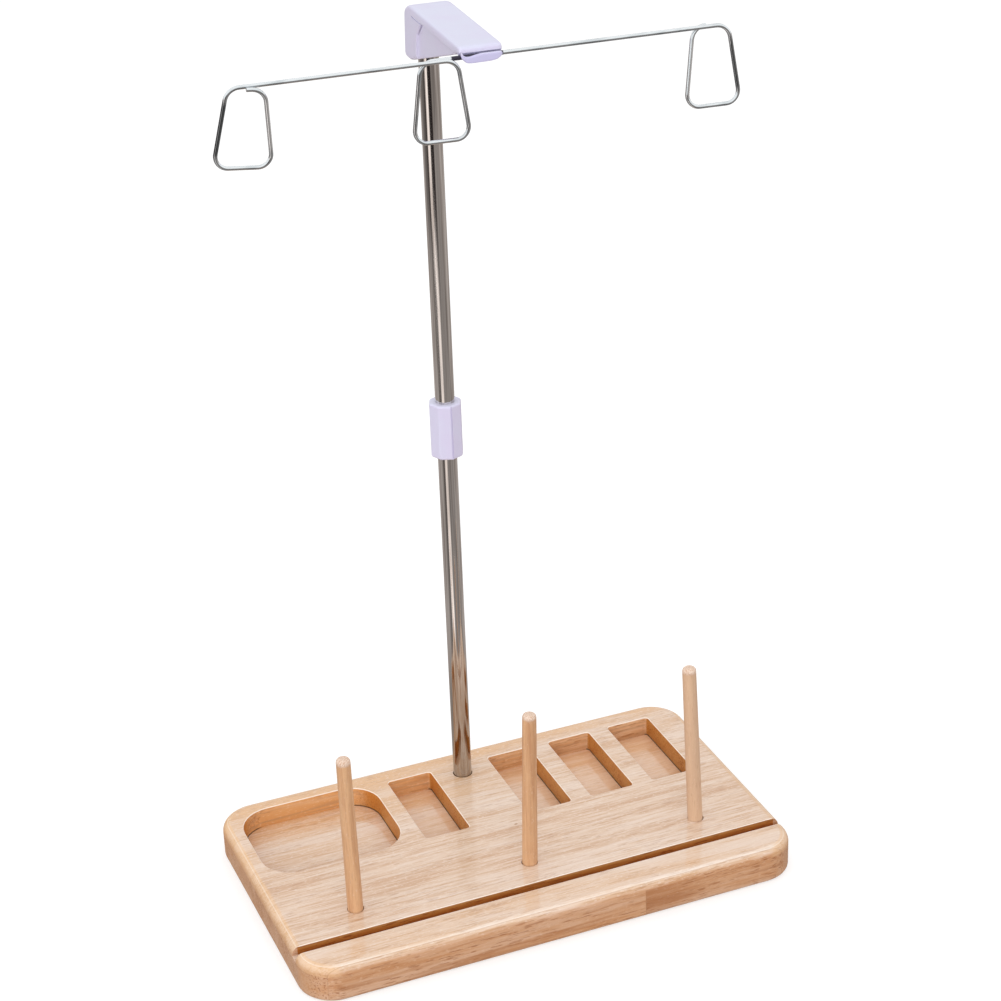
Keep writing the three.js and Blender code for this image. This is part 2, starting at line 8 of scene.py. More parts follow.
import bmesh
import bpy
from mathutils import Matrix, Vector


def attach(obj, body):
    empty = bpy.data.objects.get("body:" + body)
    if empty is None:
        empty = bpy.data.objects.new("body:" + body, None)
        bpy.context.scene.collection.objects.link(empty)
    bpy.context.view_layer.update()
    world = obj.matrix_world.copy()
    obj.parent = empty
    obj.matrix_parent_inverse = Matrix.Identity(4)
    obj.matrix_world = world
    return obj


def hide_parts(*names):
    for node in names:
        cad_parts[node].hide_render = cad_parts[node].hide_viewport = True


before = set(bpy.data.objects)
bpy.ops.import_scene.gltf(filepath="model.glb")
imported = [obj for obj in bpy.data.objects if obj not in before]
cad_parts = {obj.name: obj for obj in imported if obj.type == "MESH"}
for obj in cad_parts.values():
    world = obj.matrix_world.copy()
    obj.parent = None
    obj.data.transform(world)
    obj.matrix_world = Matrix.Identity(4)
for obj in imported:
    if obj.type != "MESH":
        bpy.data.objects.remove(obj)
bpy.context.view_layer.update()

LOG = logging.getLogger("thread_cone_holder")
MM = 0.001  # metres in a millimetre
TINY = 0.01  # millimetres within which two places count as one
PAST = 1.0  # millimetres by which a cutter passes the face that it cuts
THIN, ROUND, FINE = 32, 48, 64  # sides of thin, common and fine rods
CREASE = 32  # degrees from which an edge stays sharp

# Places that several pieces share, in millimetres and degrees
BOARD_TOP = 20.0
MAST_Y = 57.4
PIN_ROW = -36.5
PIN_PLACES = (-95.2, 0.0, 95.2)
HEAD_TURN = -4.1
WIRE_REACH = 84.7
WIRE_HEIGHT = 445.2

Point = tuple[float, float, float]
Colour = tuple[float, float, float]
Pair = tuple[float, float]
Value = "float | Signal"


# Shader maths

@dataclass(frozen=True)
class Signal:
    """An output socket that takes part in Python arithmetic.

    Args:
        sheet: Node sheet that the socket belongs to.
        socket: The output socket.
    """

    sheet: "NodeSheet"
    socket: bpy.types.NodeSocket

    def __add__(self, other: Value) -> "Signal":
        """Sum of two values."""
        return self.sheet.maths("ADD", self, other)

    def __sub__(self, other: Value) -> "Signal":
        """Difference of two values."""
        return self.sheet.maths("SUBTRACT", self, other)

    def __mul__(self, other: Value) -> "Signal":
        """Product of two values."""
        return self.sheet.maths("MULTIPLY", self, other)

    def __truediv__(self, other: Value) -> "Signal":
        """Quotient of two values."""
        return self.sheet.maths("DIVIDE", self, other)

    def __radd__(self, other: float) -> "Signal":
        """Sum with a plain number on the left."""
        return self.sheet.maths("ADD", other, self)

    def __rsub__(self, other: float) -> "Signal":
        """Difference with a plain number on the left."""
        return self.sheet.maths("SUBTRACT", other, self)

    def __rmul__(self, other: float) -> "Signal":
        """Product with a plain number on the left."""
        return self.sheet.maths("MULTIPLY", other, self)

    def __gt__(self, other: Value) -> "Signal":
        """One where this value is the greater, else nought."""
        return self.sheet.maths("GREATER_THAN", self, other)

    def __lt__(self, other: Value) -> "Signal":
        """One where this value is the smaller, else nought."""
        return self.sheet.maths("LESS_THAN", self, other)

    def __abs__(self) -> "Signal":
        """Size of the value without its sign."""
        return self.sheet.maths("ABSOLUTE", self)

    def floor(self) -> "Signal":
        """Whole number below the value."""
        return self.sheet.maths("FLOOR", self)

    def at_most(self, limit: Value) -> "Signal":
        """The smaller of the value and a limit."""
        return self.sheet.maths("MINIMUM", self, limit)

    def at_least(self, limit: Value) -> "Signal":
        """The greater of the value and a limit."""
        return self.sheet.maths("MAXIMUM", self, limit)

    def rise(self, low: float, high: float) -> "Signal":
        """Smooth step from nought to one between two values.

        Args:
            low: Value where the step starts.
            high: Value where the step ends.

        Returns:
            The step. It falls instead where low is above high.
        """
        settings = {"interpolation_type": "SMOOTHSTEP", "clamp": True}
        if low > high:
            return 1 - self.rise(high, low)
        values = {"Value": self, "From Min": low, "From Max": high}
        return self.sheet.make("ShaderNodeMapRange", settings, values)


class NodeSheet:
    """The node tree of one finish, opened for building."""

    def __init__(self, tree: bpy.types.NodeTree) -> None:
        """Empties a node tree.

        Args:
            tree: Tree of a material or of the world.
        """
        self.tree = tree
        tree.nodes.clear()

    def make(
        self,
        kind: str,
        settings: dict[str, object] | None = None,
        values: dict[str | int, object] | None = None,
        output: str | int = 0,
    ) -> Signal:
        """Adds a node.

        Args:
            kind: Blender's name for the node's type.
            settings: Properties of the node, set first. The stops of a ramp
                are pairs of a place and a colour.
            values: Numbers, colours or signals for its input sockets.
            output: Which output is wanted.

        Returns:
            The wanted output.
        """
        node = self.tree.nodes.new(kind)
        for name, setting in (settings or {}).items():
            if name == "stops":
                self._set_stops(node.color_ramp, setting)
            else:
                setattr(node, name, setting)
        for name, value in (values or {}).items():
            socket = node.inputs[name]
            if isinstance(value, Signal):
                self.tree.links.new(value.socket, socket)
            elif isinstance(value, tuple) and socket.type == "RGBA":
                socket.default_value = (*value, 1.0)
            else:
                socket.default_value = value
        return Signal(self, node.outputs[output]) if len(node.outputs) else None

    @staticmethod
    def _set_stops(ramp: bpy.types.ColorRamp, stops: Sequence[tuple[float, Colour]]) -> None:
        """Gives a ramp its stops."""
        while len(ramp.elements) < len(stops):
            ramp.elements.new(0.5)
        for element, (place, colour) in zip(ramp.elements, stops):
            element.position = place
            element.color = (*colour, 1.0)

    def maths(self, operation: str, a: Value, b: Value = 0.0) -> Signal:
        """One Math node on one or two values."""
        return self.make("ShaderNodeMath", {"operation": operation}, {0: a, 1: b})

    def vectors(self, operation: str, a: object, b: object) -> Signal:
        """One Vector Math node on two vectors."""
        return self.make("ShaderNodeVectorMath", {"operation": operation}, {0: a, 1: b})

    def place(self) -> Signal:
        """Object coordinates in metres."""
        return self.make("ShaderNodeTexCoord", output="Object")

    def facing(self) -> Signal:
        """Direction that the surface faces."""
        return self.make("ShaderNodeNewGeometry", output="Normal")

    def split(self, vector: Signal) -> tuple[Signal, Signal, Signal]:
        """The three parts of a vector."""
        parts = self.make("ShaderNodeSeparateXYZ", values={0: vector})
        return tuple(Signal(self, s) for s in parts.socket.node.outputs)

    def join(self, x: Value, y: Value, z: Value) -> Signal:
        """A vector of three values."""
        return self.make("ShaderNodeCombineXYZ", values={0: x, 1: y, 2: z})

    def cloud(
        self, place: Signal, stretch: Point, detail: float = 3.0, swirl: float = 0.0
    ) -> Signal:
        """Soft noise.

        Args:
            place: Where the noise is read, in metres.
            stretch: Repeats for each metre along the three axes.
            detail: Number of finer layers.
            swirl: How far the noise distorts itself.

        Returns:
            A value round one half.
        """
        scaled = self.vectors("MULTIPLY", place, stretch)
        values = {"Vector": scaled, "Scale": 1.0, "Detail": detail, "Distortion": swirl}
        return self.make("ShaderNodeTexNoise", values=values)

    def chance(self, seed: Signal) -> Signal:
        """A random value between nought and one for each whole number."""
        return self.make("ShaderNodeTexWhiteNoise", {"noise_dimensions": "1D"}, {"W": seed})

    def ramp(self, value: Signal, stops: Sequence[tuple[float, Colour]]) -> Signal:
        """Colour that changes with a value."""
        return self.make("ShaderNodeValToRGB", {"stops": stops}, {0: value})

    def mix(self, share: Value, a: object, b: object, how: str = "MIX") -> Signal:
        """Mixes two colours.

        Args:
            share: Weight of the second colour.
            a: First colour.
            b: Second colour.
            how: Blend type of the Mix node.

        Returns:
            The mixed colour.
        """
        settings = {"data_type": "RGBA", "blend_type": how}
        return self.make("ShaderNodeMix", settings, {0: share, 6: a, 7: b}, output=2)

    def bump(self, height: Signal, depth: float, strength: float = 1.0) -> Signal:
        """Normal of a surface with fine relief.

        Args:
            height: Relief, from nought to one.
            depth: Height in metres that one stands for.
            strength: Share of the relief that shows.

        Returns:
            The normal.
        """
        values = {"Height": height, "Distance": depth, "Strength": strength}
        return self.make("ShaderNodeBump", values=values)

    def surface(self, **values: object) -> None:
        """Ends the sheet in a Principled shader. Underscores stand for blanks."""
        named = {name.replace("_", " "): value for name, value in values.items()}
        shader = self.make("ShaderNodeBsdfPrincipled", values=named)
        self.make("ShaderNodeOutputMaterial", values={"Surface": shader})


def new_finish(name: str) -> tuple[bpy.types.Material, NodeSheet]:
    """Makes an empty material.

    Args:
        name: Name of the finish.

    Returns:
        The material and its node sheet.
    """
    material = bpy.data.materials.new(name)
    material.use_nodes = True
    return material, NodeSheet(material.node_tree)


# Finishes

@dataclass(frozen=True)
class BoardTimber:
    """Pale rubberwood, glued up from staves along the board and lacquered.

    Places are in metres, but the middles and reaches of the flecks in millimetres.
    """

    cream: Colour = (0.82, 0.675, 0.575)
    straw: Colour = (0.77, 0.585, 0.445)
    honey: Colour = (0.64, 0.41, 0.26)
    golden: Colour = (0.78, 0.49, 0.265)
    # Painted sheen: pale glint specks and a highlight band along the rounded top edges.
    pale: Colour = (0.90, 0.79, 0.69)
    # Painted highlight along the rims of the hollows and the groove.
    rim: Colour = (0.97, 0.87, 0.77)
    fleck: Colour = (0.46, 0.24, 0.125)
    # Painted shade in the crease at the foot of the hollows' walls.
    crease_shade: Colour = (0.10, 0.05, 0.025)
    lacquer: Colour = (0.975, 0.92, 0.867)
    # Tints of the upright faces: partly the grain's own deeper tone, partly painted shade,
    # strongest in the hollows and down the groove.
    outer_side: Colour = (0.82, 0.62, 0.48)
    outer_end: Colour = (0.74, 0.54, 0.39)
    inner_side: Colour = (0.95, 0.745, 0.53)
    inner_end: Colour = (0.70, 0.39, 0.12)
    groove_top: Colour = (0.60, 0.34, 0.13)
    groove_foot_shade: Colour = (0.56, 0.24, 0.05)
    pocket_floor: Colour = (0.98, 0.62, 0.345)
    first_joint: float = -0.047
    stave_width: float = 0.031
    end_joint: float = 0.0455
    block_top: float = 0.0163
    last_stave: float = 3.0
    hollows: Point = (0.131, 0.004, 0.0715)
    hollow_floor: float = 0.0095
    tray_end: float = -0.045
    groove: Pair = (-0.0605, -0.0535)
    groove_reach: float = 0.132
    rim_from: float = 0.0193
    top_from: float = 0.0195
    flecks: tuple[tuple[float, ...], ...] = (
        (7.0, -1.5, 0.9, 0.5, 1.0),
        (72.5, -34.5, 3.2, 0.22, 0.5),
        (78.0, -33.0, 2.0, 0.2, 0.4),
        (87.4, 12.8, 2.2, 0.3, 0.5),
        (-63.0, -9.0, 1.6, 0.5, 0.35),
    )

    def material(self) -> bpy.types.Material:
        """Makes the material."""
        material, sheet = new_finish("lacquered_board_timber")
        place = sheet.place()
        x, y, z = sheet.split(place)
        facing_x, facing_y, up = sheet.split(sheet.facing())
        row = ((y - self.first_joint) / self.stave_width).floor().at_most(self.last_stave)
        front = facing_y.rise(-0.55, -0.85)
        right_block = front * (x > self.end_joint) * (z < self.block_top)
        tone = sheet.chance(row * 7.3 + right_block * 3.1 + 11.7)
        tone_b = sheet.chance(row * 3.7 + right_block * 5.9 + 2.3)
        start = sheet.join(tone * 3.0, tone_b * 2.0, (tone + tone_b) * 1.7)
        grain_place = sheet.vectors("ADD", place, start)
        side = (1 - abs(up)).rise(0.15, 0.85)
        end = abs(facing_x).rise(0.45, 0.9)

        broad = sheet.cloud(grain_place, (7.0, 75.0, 75.0), 4.0, 0.8)
        band = sheet.cloud(grain_place, (13.0, 260.0, 260.0), 3.0, 0.5)
        fibre = sheet.cloud(grain_place, (60.0, 1000.0, 1000.0), 4.0)
        dash = sheet.cloud(grain_place, (130.0, 1450.0, 1450.0), 2.0)
        crowd = sheet.cloud(grain_place, (16.0, 90.0, 90.0), 2.0)
        glint = sheet.cloud(place, (420.0, 1300.0, 1300.0), 2.0)
        flecks = dash.rise(0.56, 0.64) * crowd.rise(0.34, 0.58)
        stops = [(0.30, self.cream), (0.50, self.straw), (0.74, self.honey)]
        mottle = (fibre - 0.5) * 0.95 + (band - 0.5) * 0.55 + (tone - 0.5) * 0.10
        colour = sheet.ramp(broad + mottle, stops)
        colour = sheet.mix(self._warmth(x, y, z, broad), colour, self.golden)
        # Painted glints: fine pale specks of sheen.
        colour = sheet.mix(glint.rise(0.56, 0.68) * 0.45, colour, self.pale)
        colour = sheet.mix(flecks * (0.42 + side * 0.34), colour, self.fleck)
        colour = sheet.mix(band.rise(0.52, 0.66) * side * (1 - end) * 0.42, colour, self.fleck)
        colour = sheet.mix(right_block * x.rise(0.090, 0.045) * 0.42, colour, self.fleck)

        colour = self._tint_sides(sheet, colour, (x, y, z), side, end)
        hollow = self._in_hollow(x, y)
        streak = sheet.cloud(grain_place, (9.0, 300.0, 560.0), 3.0).rise(0.50, 0.60)
        colour = sheet.mix(streak * hollow * side * (1 - end) * 0.45, colour, self.fleck)
        # Painted shade: a dark line in the crease at the foot of the hollows' end walls.
        foot = hollow * z.rise(0.0096, 0.0091) * (up < 0.97) * abs(facing_x).rise(0.12, 0.40)
        colour = sheet.mix(foot * 0.85, colour, self.crease_shade)
        # Painted highlight: a pale band along the rounded top edges, strongest at the front.
        edge = up.rise(0.80, 0.90) * up.rise(0.998, 0.975)
        ends = abs(facing_x).rise(0.12, 0.45)
        rounding = edge * (1 - ends)
        edge = rounding * (facing_y.rise(-0.10, -0.35) * 0.20 + 0.12)
        colour = sheet.mix(edge * crowd.rise(0.35, 0.65), colour, self.pale)
        soaked = abs(facing_x).rise(0.03, 0.20) * (1 - hollow) * (up > 0.02)
        colour = sheet.mix(soaked * (0.38 + up.rise(0.3, 0.8) * 0.17), colour, self.golden)
        # Painted highlight: a pale line along the rims of the hollows and the groove.
        rim = up.rise(0.05, 0.30) * up.rise(0.95, 0.80) * (z > self.rim_from)
        colour = sheet.mix(rim * 0.85, colour, self.rim)
        colour = sheet.mix(self._joint_lines(x, y, z, row, front) * 0.45, colour, self.fleck)
        colour = sheet.mix(self._blemishes(x, y, z), colour, self.fleck)
        flat = up.rise(0.97, 0.995)
        coated = sheet.mix(1.0, colour, self.lacquer, "MULTIPLY")
        colour = sheet.mix(flat, colour, coated)
        relief = fibre * 0.5 + glint * 0.3 - flecks * 0.6 + crowd * rounding * 2.5
        sheet.surface(
            Base_Color=colour,
            Roughness=0.36 + fibre * 0.12 + flecks * 0.2,
            Normal=sheet.bump(relief, 0.00015, 0.6),
            Specular_IOR_Level=0.2,
            Coat_Weight=0.05 + flat * 0.95,
            Coat_IOR=1.8,
            Coat_Roughness=0.10,
        )
        return material

    def _warmth(self, x: Signal, y: Signal, z: Signal, broad: Signal) -> Signal:
        """Share of the golden tone, strongest round the back of the left half."""
        place = y.rise(0.0, 0.070) * (x.rise(0.045, -0.035) * 0.55 + 0.25)
        place = place * (1 - (z < self.hollow_floor) * 0.35)
        strips = y.rise(0.064, 0.071) * 0.58 + y.rise(-0.058, -0.066) * 0.30
        return (place + strips) * (broad.rise(0.35, 0.60) * 0.6 + 0.4)

    def _tint_sides(
        self,
        sheet: NodeSheet,
        colour: Signal,
        place: tuple[Signal, Signal, Signal],
        side: Signal,
        end: Signal,
    ) -> Signal:
        """Deepens the upright faces, the end grain and the hollows most: partly the grain's own
        deeper tone, partly painted shade, which also darkens the groove with its depth.

        Args:
            sheet: Node sheet of the finish.
            colour: Colour of the timber's top.
            place: Object coordinates.
            side: How upright the surface stands, from 0 to 1.
            end: Share of end grain.

        Returns:
            The tinted colour.
        """
        x, y, z = place
        hollow = self._in_hollow(x, y)
        groove = (y > self.groove[0]) * (y < self.groove[1]) * (abs(x) < self.groove_reach)
        inside = hollow.at_least(groove)
        outer = sheet.mix(end, self.outer_side, self.outer_end)
        inner = sheet.mix(end, self.inner_side, self.inner_end)
        tint = sheet.mix(inside, outer, inner)
        # Painted shade: the groove's walls darken with depth.
        groove_shade = sheet.mix(z.rise(0.0194, 0.0172), self.groove_top, self.groove_foot_shade)
        tint = sheet.mix(groove, tint, groove_shade)
        deep = sheet.mix(1.0, colour, tint, "MULTIPLY")
        colour = sheet.mix(side, colour, deep)
        floor = hollow * (x > self.tray_end) * (z < self.hollow_floor)
        return sheet.mix(floor * (0.26 + x.rise(0.0, 0.06) * 0.16), colour, self.pocket_floor)

    def _in_hollow(self, x: Signal, y: Signal) -> Signal:
        """One over the tray and the pockets, else nought."""
        reach, low, high = self.hollows
        return (abs(x) < reach) * (y > low) * (y < high)

    def _joint_lines(
        self, x: Signal, y: Signal, z: Signal, row: Signal, front: Signal
    ) -> Signal:
        """Fine lines of glue between the staves."""
        along = y - self.first_joint - row * self.stave_width
        seam = (along - 0.00012) < 0.00018
        wander = x - self.end_joint - z * 0.05
        across = (abs(wander) < 0.00022) * front * (z < self.block_top)
        return (seam * 0.8 + across).at_most(1.0)

    def _blemishes(self, x: Signal, y: Signal, z: Signal) -> Signal:
        """A chip and a few reddish flecks in the top, each with its share."""
        total = 0.0
        for centre_x, centre_y, reach_x, reach_y, depth in self.flecks:
            across = (x - centre_x * MM) / (reach_x * MM)
            along = (y - centre_y * MM) / (reach_y * MM)
            fleck = (across * across + along * along).rise(1.6, 0.5) * depth
            total = fleck.at_least(total)
        return total * (z > self.top_from)


@dataclass(frozen=True)
class DowelTimber:
    """Bare sanded dowel with a rough sawn and tumbled tip."""

    light: Colour = (0.70, 0.41, 0.218)
    dark: Colour = (0.54, 0.275, 0.135)
    pink: Colour = (0.70, 0.50, 0.35)
    pore: Colour = (0.42, 0.22, 0.12)
    tip: Colour = (0.82, 0.63, 0.50)
    tip_from: float = 0.1064
    right_from: float = 0.05
    right_proud: float = 0.003
    others_proud: float = -0.0009

    def material(self) -> bpy.types.Material:
        """Makes the material."""
        material, sheet = new_finish("sanded_dowel_timber")
        place = sheet.place()
        x, _, z = sheet.split(place)
        pin = (x / 0.06).floor()
        start = sheet.join(sheet.chance(pin), sheet.chance(pin + 5.0), sheet.chance(pin + 9.0))
        grain_place = sheet.vectors("ADD", place, start)
        broad = sheet.cloud(grain_place, (260.0, 260.0, 14.0), 3.0, 0.4)
        fibre = sheet.cloud(grain_place, (1300.0, 1300.0, 60.0), 3.0)
        dash = sheet.cloud(grain_place, (2600.0, 2600.0, 190.0), 1.0)
        pores = dash.rise(0.58, 0.74)
        stops = [(0.34, self.light), (0.70, self.dark)]
        colour = sheet.ramp(broad + (fibre - 0.5) * 0.6, stops)
        right = x > self.right_from
        colour = sheet.mix(right * 0.6, colour, self.pink)
        glint = sheet.cloud(place, (1500.0, 1500.0, 500.0), 2.0)
        colour = sheet.mix(glint.rise(0.60, 0.72) * 0.25, colour, self.tip)
        colour = sheet.mix(pores * 0.35, colour, self.pore)
        speckle = sheet.cloud(place, (1700.0, 1700.0, 1700.0), 3.0)
        height = z - right * self.right_proud - (1 - right) * self.others_proud
        ragged = height + (speckle - 0.5) * 0.0045
        tip = ragged.rise(self.tip_from, self.tip_from + 0.0014)
        end_grain = sheet.mix(speckle.rise(0.47, 0.60) * 0.65, self.tip, self.dark)
        colour = sheet.mix(tip, colour, end_grain)
        relief = fibre * 0.5 - pores * 0.5 + tip * speckle * 2.0
        sheet.surface(
            Base_Color=colour,
            Roughness=0.5 + fibre * 0.15,
            Normal=sheet.bump(relief, 0.00015, 0.6),
        )
        return material


@dataclass(frozen=True)
class DrawnTube:
    """Bright drawn steel tube with faint lengthwise drawing lines."""

    bright: Colour = (0.82, 0.805, 0.785)
    dull: Colour = (0.44, 0.41, 0.385)
    lower_brown: Colour = (0.33, 0.275, 0.225)

    def material(self) -> bpy.types.Material:
        """Makes the material."""
        material, sheet = new_finish("drawn_tube_steel")
        place = sheet.place()
        _, _, z = sheet.split(place)
        lines = sheet.cloud(place, (1900.0, 1900.0, 9.0), 2.0)
        bands = sheet.cloud(place, (620.0, 620.0, 14.0), 2.0)
        smudge = sheet.cloud(place, (60.0, 60.0, 25.0), 3.0)
        wear = bands.rise(0.44, 0.60) * 0.65 + lines.rise(0.42, 0.62) * 0.35
        colour = sheet.mix(wear, self.bright, self.dull)
        # Darker and browner towards the tube's foot.
        colour = sheet.mix(z.rise(0.125, 0.060) * 0.62, colour, self.lower_brown)
        sheet.surface(
            Base_Color=colour,
            Metallic=1.0,
            Roughness=0.05 + lines * 0.06 + smudge * 0.04,
            Normal=sheet.bump(lines, 0.00002, 0.35),
        )
        return material


@dataclass(frozen=True)
class GuideSteel:
    """Bright drawn wire with soft lengthwise streaks."""

    bright: Colour = (0.93, 0.975, 1.0)
    dull: Colour = (0.325, 0.37, 0.40)
    # Painted dark reflection on some legs of the loops.
    dark_reflection: Colour = (0.07, 0.085, 0.095)
    # Painted shade on the wire where it lies in the nose's slot.
    slot_shade: Colour = (0.035, 0.03, 0.05)
    seat: Point = (-0.00606, -0.02708, 0.4452)
    seat_line: Pair = (0.99744, -0.07150)
    seat_span: Pair = (-0.0138, 0.0096)
    seat_fade: float = 0.0006
    seat_radius: float = 0.0013
    sides_from: Pair = (0.413, 0.441)
    # Reaches in X of the legs that take the painted dark reflection, and its share.
    dark_sides: tuple[Point, ...] = (
        (-0.140, -0.110, 0.80),
        (-0.015, 0.010, 0.45),
        (0.112, 0.140, 0.65),
    )
    # Reaches in X of the legs that keep most of the bright tone, a painted highlight.
    lit_sides: Pair = (0.080, 0.108)

    def material(self) -> bpy.types.Material:
        """Makes the material."""
        material, sheet = new_finish("guide_wire_steel")
        place = sheet.place()
        streak = sheet.cloud(place, (90.0, 900.0, 160.0), 3.0)
        _, _, up = sheet.split(sheet.facing())
        x, _, z = sheet.split(place)
        low, high = self.sides_from
        side = z.rise(low, low + 0.004) * z.rise(high, high - 0.004)
        inner, outer = self.lit_sides
        # Painted highlight: these legs lose most of the dull tone.
        lit_legs = side * abs(x).rise(inner, inner + 0.004) * abs(x).rise(outer, outer - 0.003)
        # Streaks, plus painted shade on the faces that turn down.
        streaks_and_under_shade = streak.rise(0.48, 0.70) * 0.30 + up.rise(0.45, -0.25) * 0.68
        colour = sheet.mix(streaks_and_under_shade * (1 - lit_legs * 0.8), self.bright, self.dull)
        # Painted dark reflection on some legs of the loops.
        for left, right, share in self.dark_sides:
            reach = (x > left) * (x < right)
            colour = sheet.mix(side * reach * share, colour, self.dark_reflection)
        # Painted shade in the nose's slot, with duller, rougher metal there.
        seat = self._in_seat(sheet, place)
        colour = sheet.mix(seat, colour, self.slot_shade)
        sheet.surface(
            Base_Color=colour,
            Metallic=1.0 - seat * 0.7,
            Roughness=0.08 + streak * 0.10 + seat * 0.3,
            Normal=sheet.bump(streak, 0.00003, 0.4),
        )
        return material

    def _in_seat(self, sheet: NodeSheet, place: Signal) -> Signal:
        """Where the wire lies in the nose, which is painted dark as shade in the slot."""
        x, y, z = sheet.split(sheet.vectors("SUBTRACT", place, self.seat))
        right, ahead = self.seat_line
        along = x * right + y * ahead
        off = abs(y * right - x * ahead).at_least(abs(z))
        low, high = self.seat_span
        inside = along.rise(low - self.seat_fade, low) * along.rise(high + self.seat_fade, high)
        return inside * (off < self.seat_radius)


@dataclass(frozen=True)
class ZincPlate:
    """Dull zinc plate on the fixings."""

    light: Colour = (0.70, 0.71, 0.72)
    dark: Colour = (0.48, 0.50, 0.52)

    def material(self) -> bpy.types.Material:
        """Makes the material."""
        material, sheet = new_finish("zinc_plate")
        place = sheet.place()
        spangle = sheet.cloud(place, (900.0, 900.0, 900.0), 4.0)
        colour = sheet.mix(spangle.rise(0.35, 0.68), self.light, self.dark)
        sheet.surface(
            Base_Color=colour,
            Metallic=1.0,
            Roughness=0.32 + spangle * 0.16,
            Normal=sheet.bump(spangle, 0.00003, 0.4),
        )
        return material


@dataclass(frozen=True)
class WhiteMoulding:
    """White moulded plastic with a lavender cast and a satin skin."""

    light: Colour = (0.70, 0.70, 0.845)
    shade: Colour = (0.695, 0.645, 0.82)
    # Painted shade on the lip under the plate's front.
    lip_shade: Colour = (0.58, 0.55, 0.80)

    def material(self) -> bpy.types.Material:
        """Makes the material."""
        material, sheet = new_finish("white_moulding")
        place = sheet.place()
        flow = sheet.cloud(place, (55.0, 55.0, 55.0), 3.0)
        skin = sheet.cloud(place, (1500.0, 1500.0, 1500.0), 3.0)
        _, _, up = sheet.split(sheet.facing())
        # Random flow, plus painted shade on faces that turn away from the top.
        flow_and_shade = flow.rise(0.35, 0.65) * 0.5 + up.rise(0.9, 0.2) * 0.5
        colour = sheet.mix(flow_and_shade, self.light, self.shade)
        _, y, z = sheet.split(place)
        # Painted shade on the lip, below the plate's front.
        lip = y.rise(-0.0220, -0.0235) * z.rise(0.4472, 0.4458)
        colour = sheet.mix(lip * 0.8, colour, self.lip_shade)
        sheet.surface(
            Base_Color=colour,
            Roughness=0.34 + skin * 0.10,
            Normal=sheet.bump(skin, 0.00002, 0.35),
        )
        return material


# Modelling

class Join(Enum):
    """How a second solid acts on the first."""

    CUT = "DIFFERENCE"
    ADD = "UNION"
    KEEP_SHARED = "INTERSECT"


class Slot(Enum):
    """Names of the material slots."""

    BOARD = "board_wood"
    DOWEL = "dowel_wood"
    TUBE = "mast_steel"
    WIRE = "guide_wire"
    FIXING = "fixing_steel"
    PLASTIC = "white_plastic"


def metres(sizes: Iterable[float]) -> tuple[float, ...]:
    """Millimetres in metres."""
    return tuple(size * MM for size in sizes)


def release() -> None:
    """Leaves edit mode and leaves nothing selected."""
    active = bpy.context.view_layer.objects.active
    if active is not None and active.mode != "OBJECT":
        bpy.ops.object.mode_set(mode="OBJECT")
    bpy.ops.object.select_all(action="DESELECT")


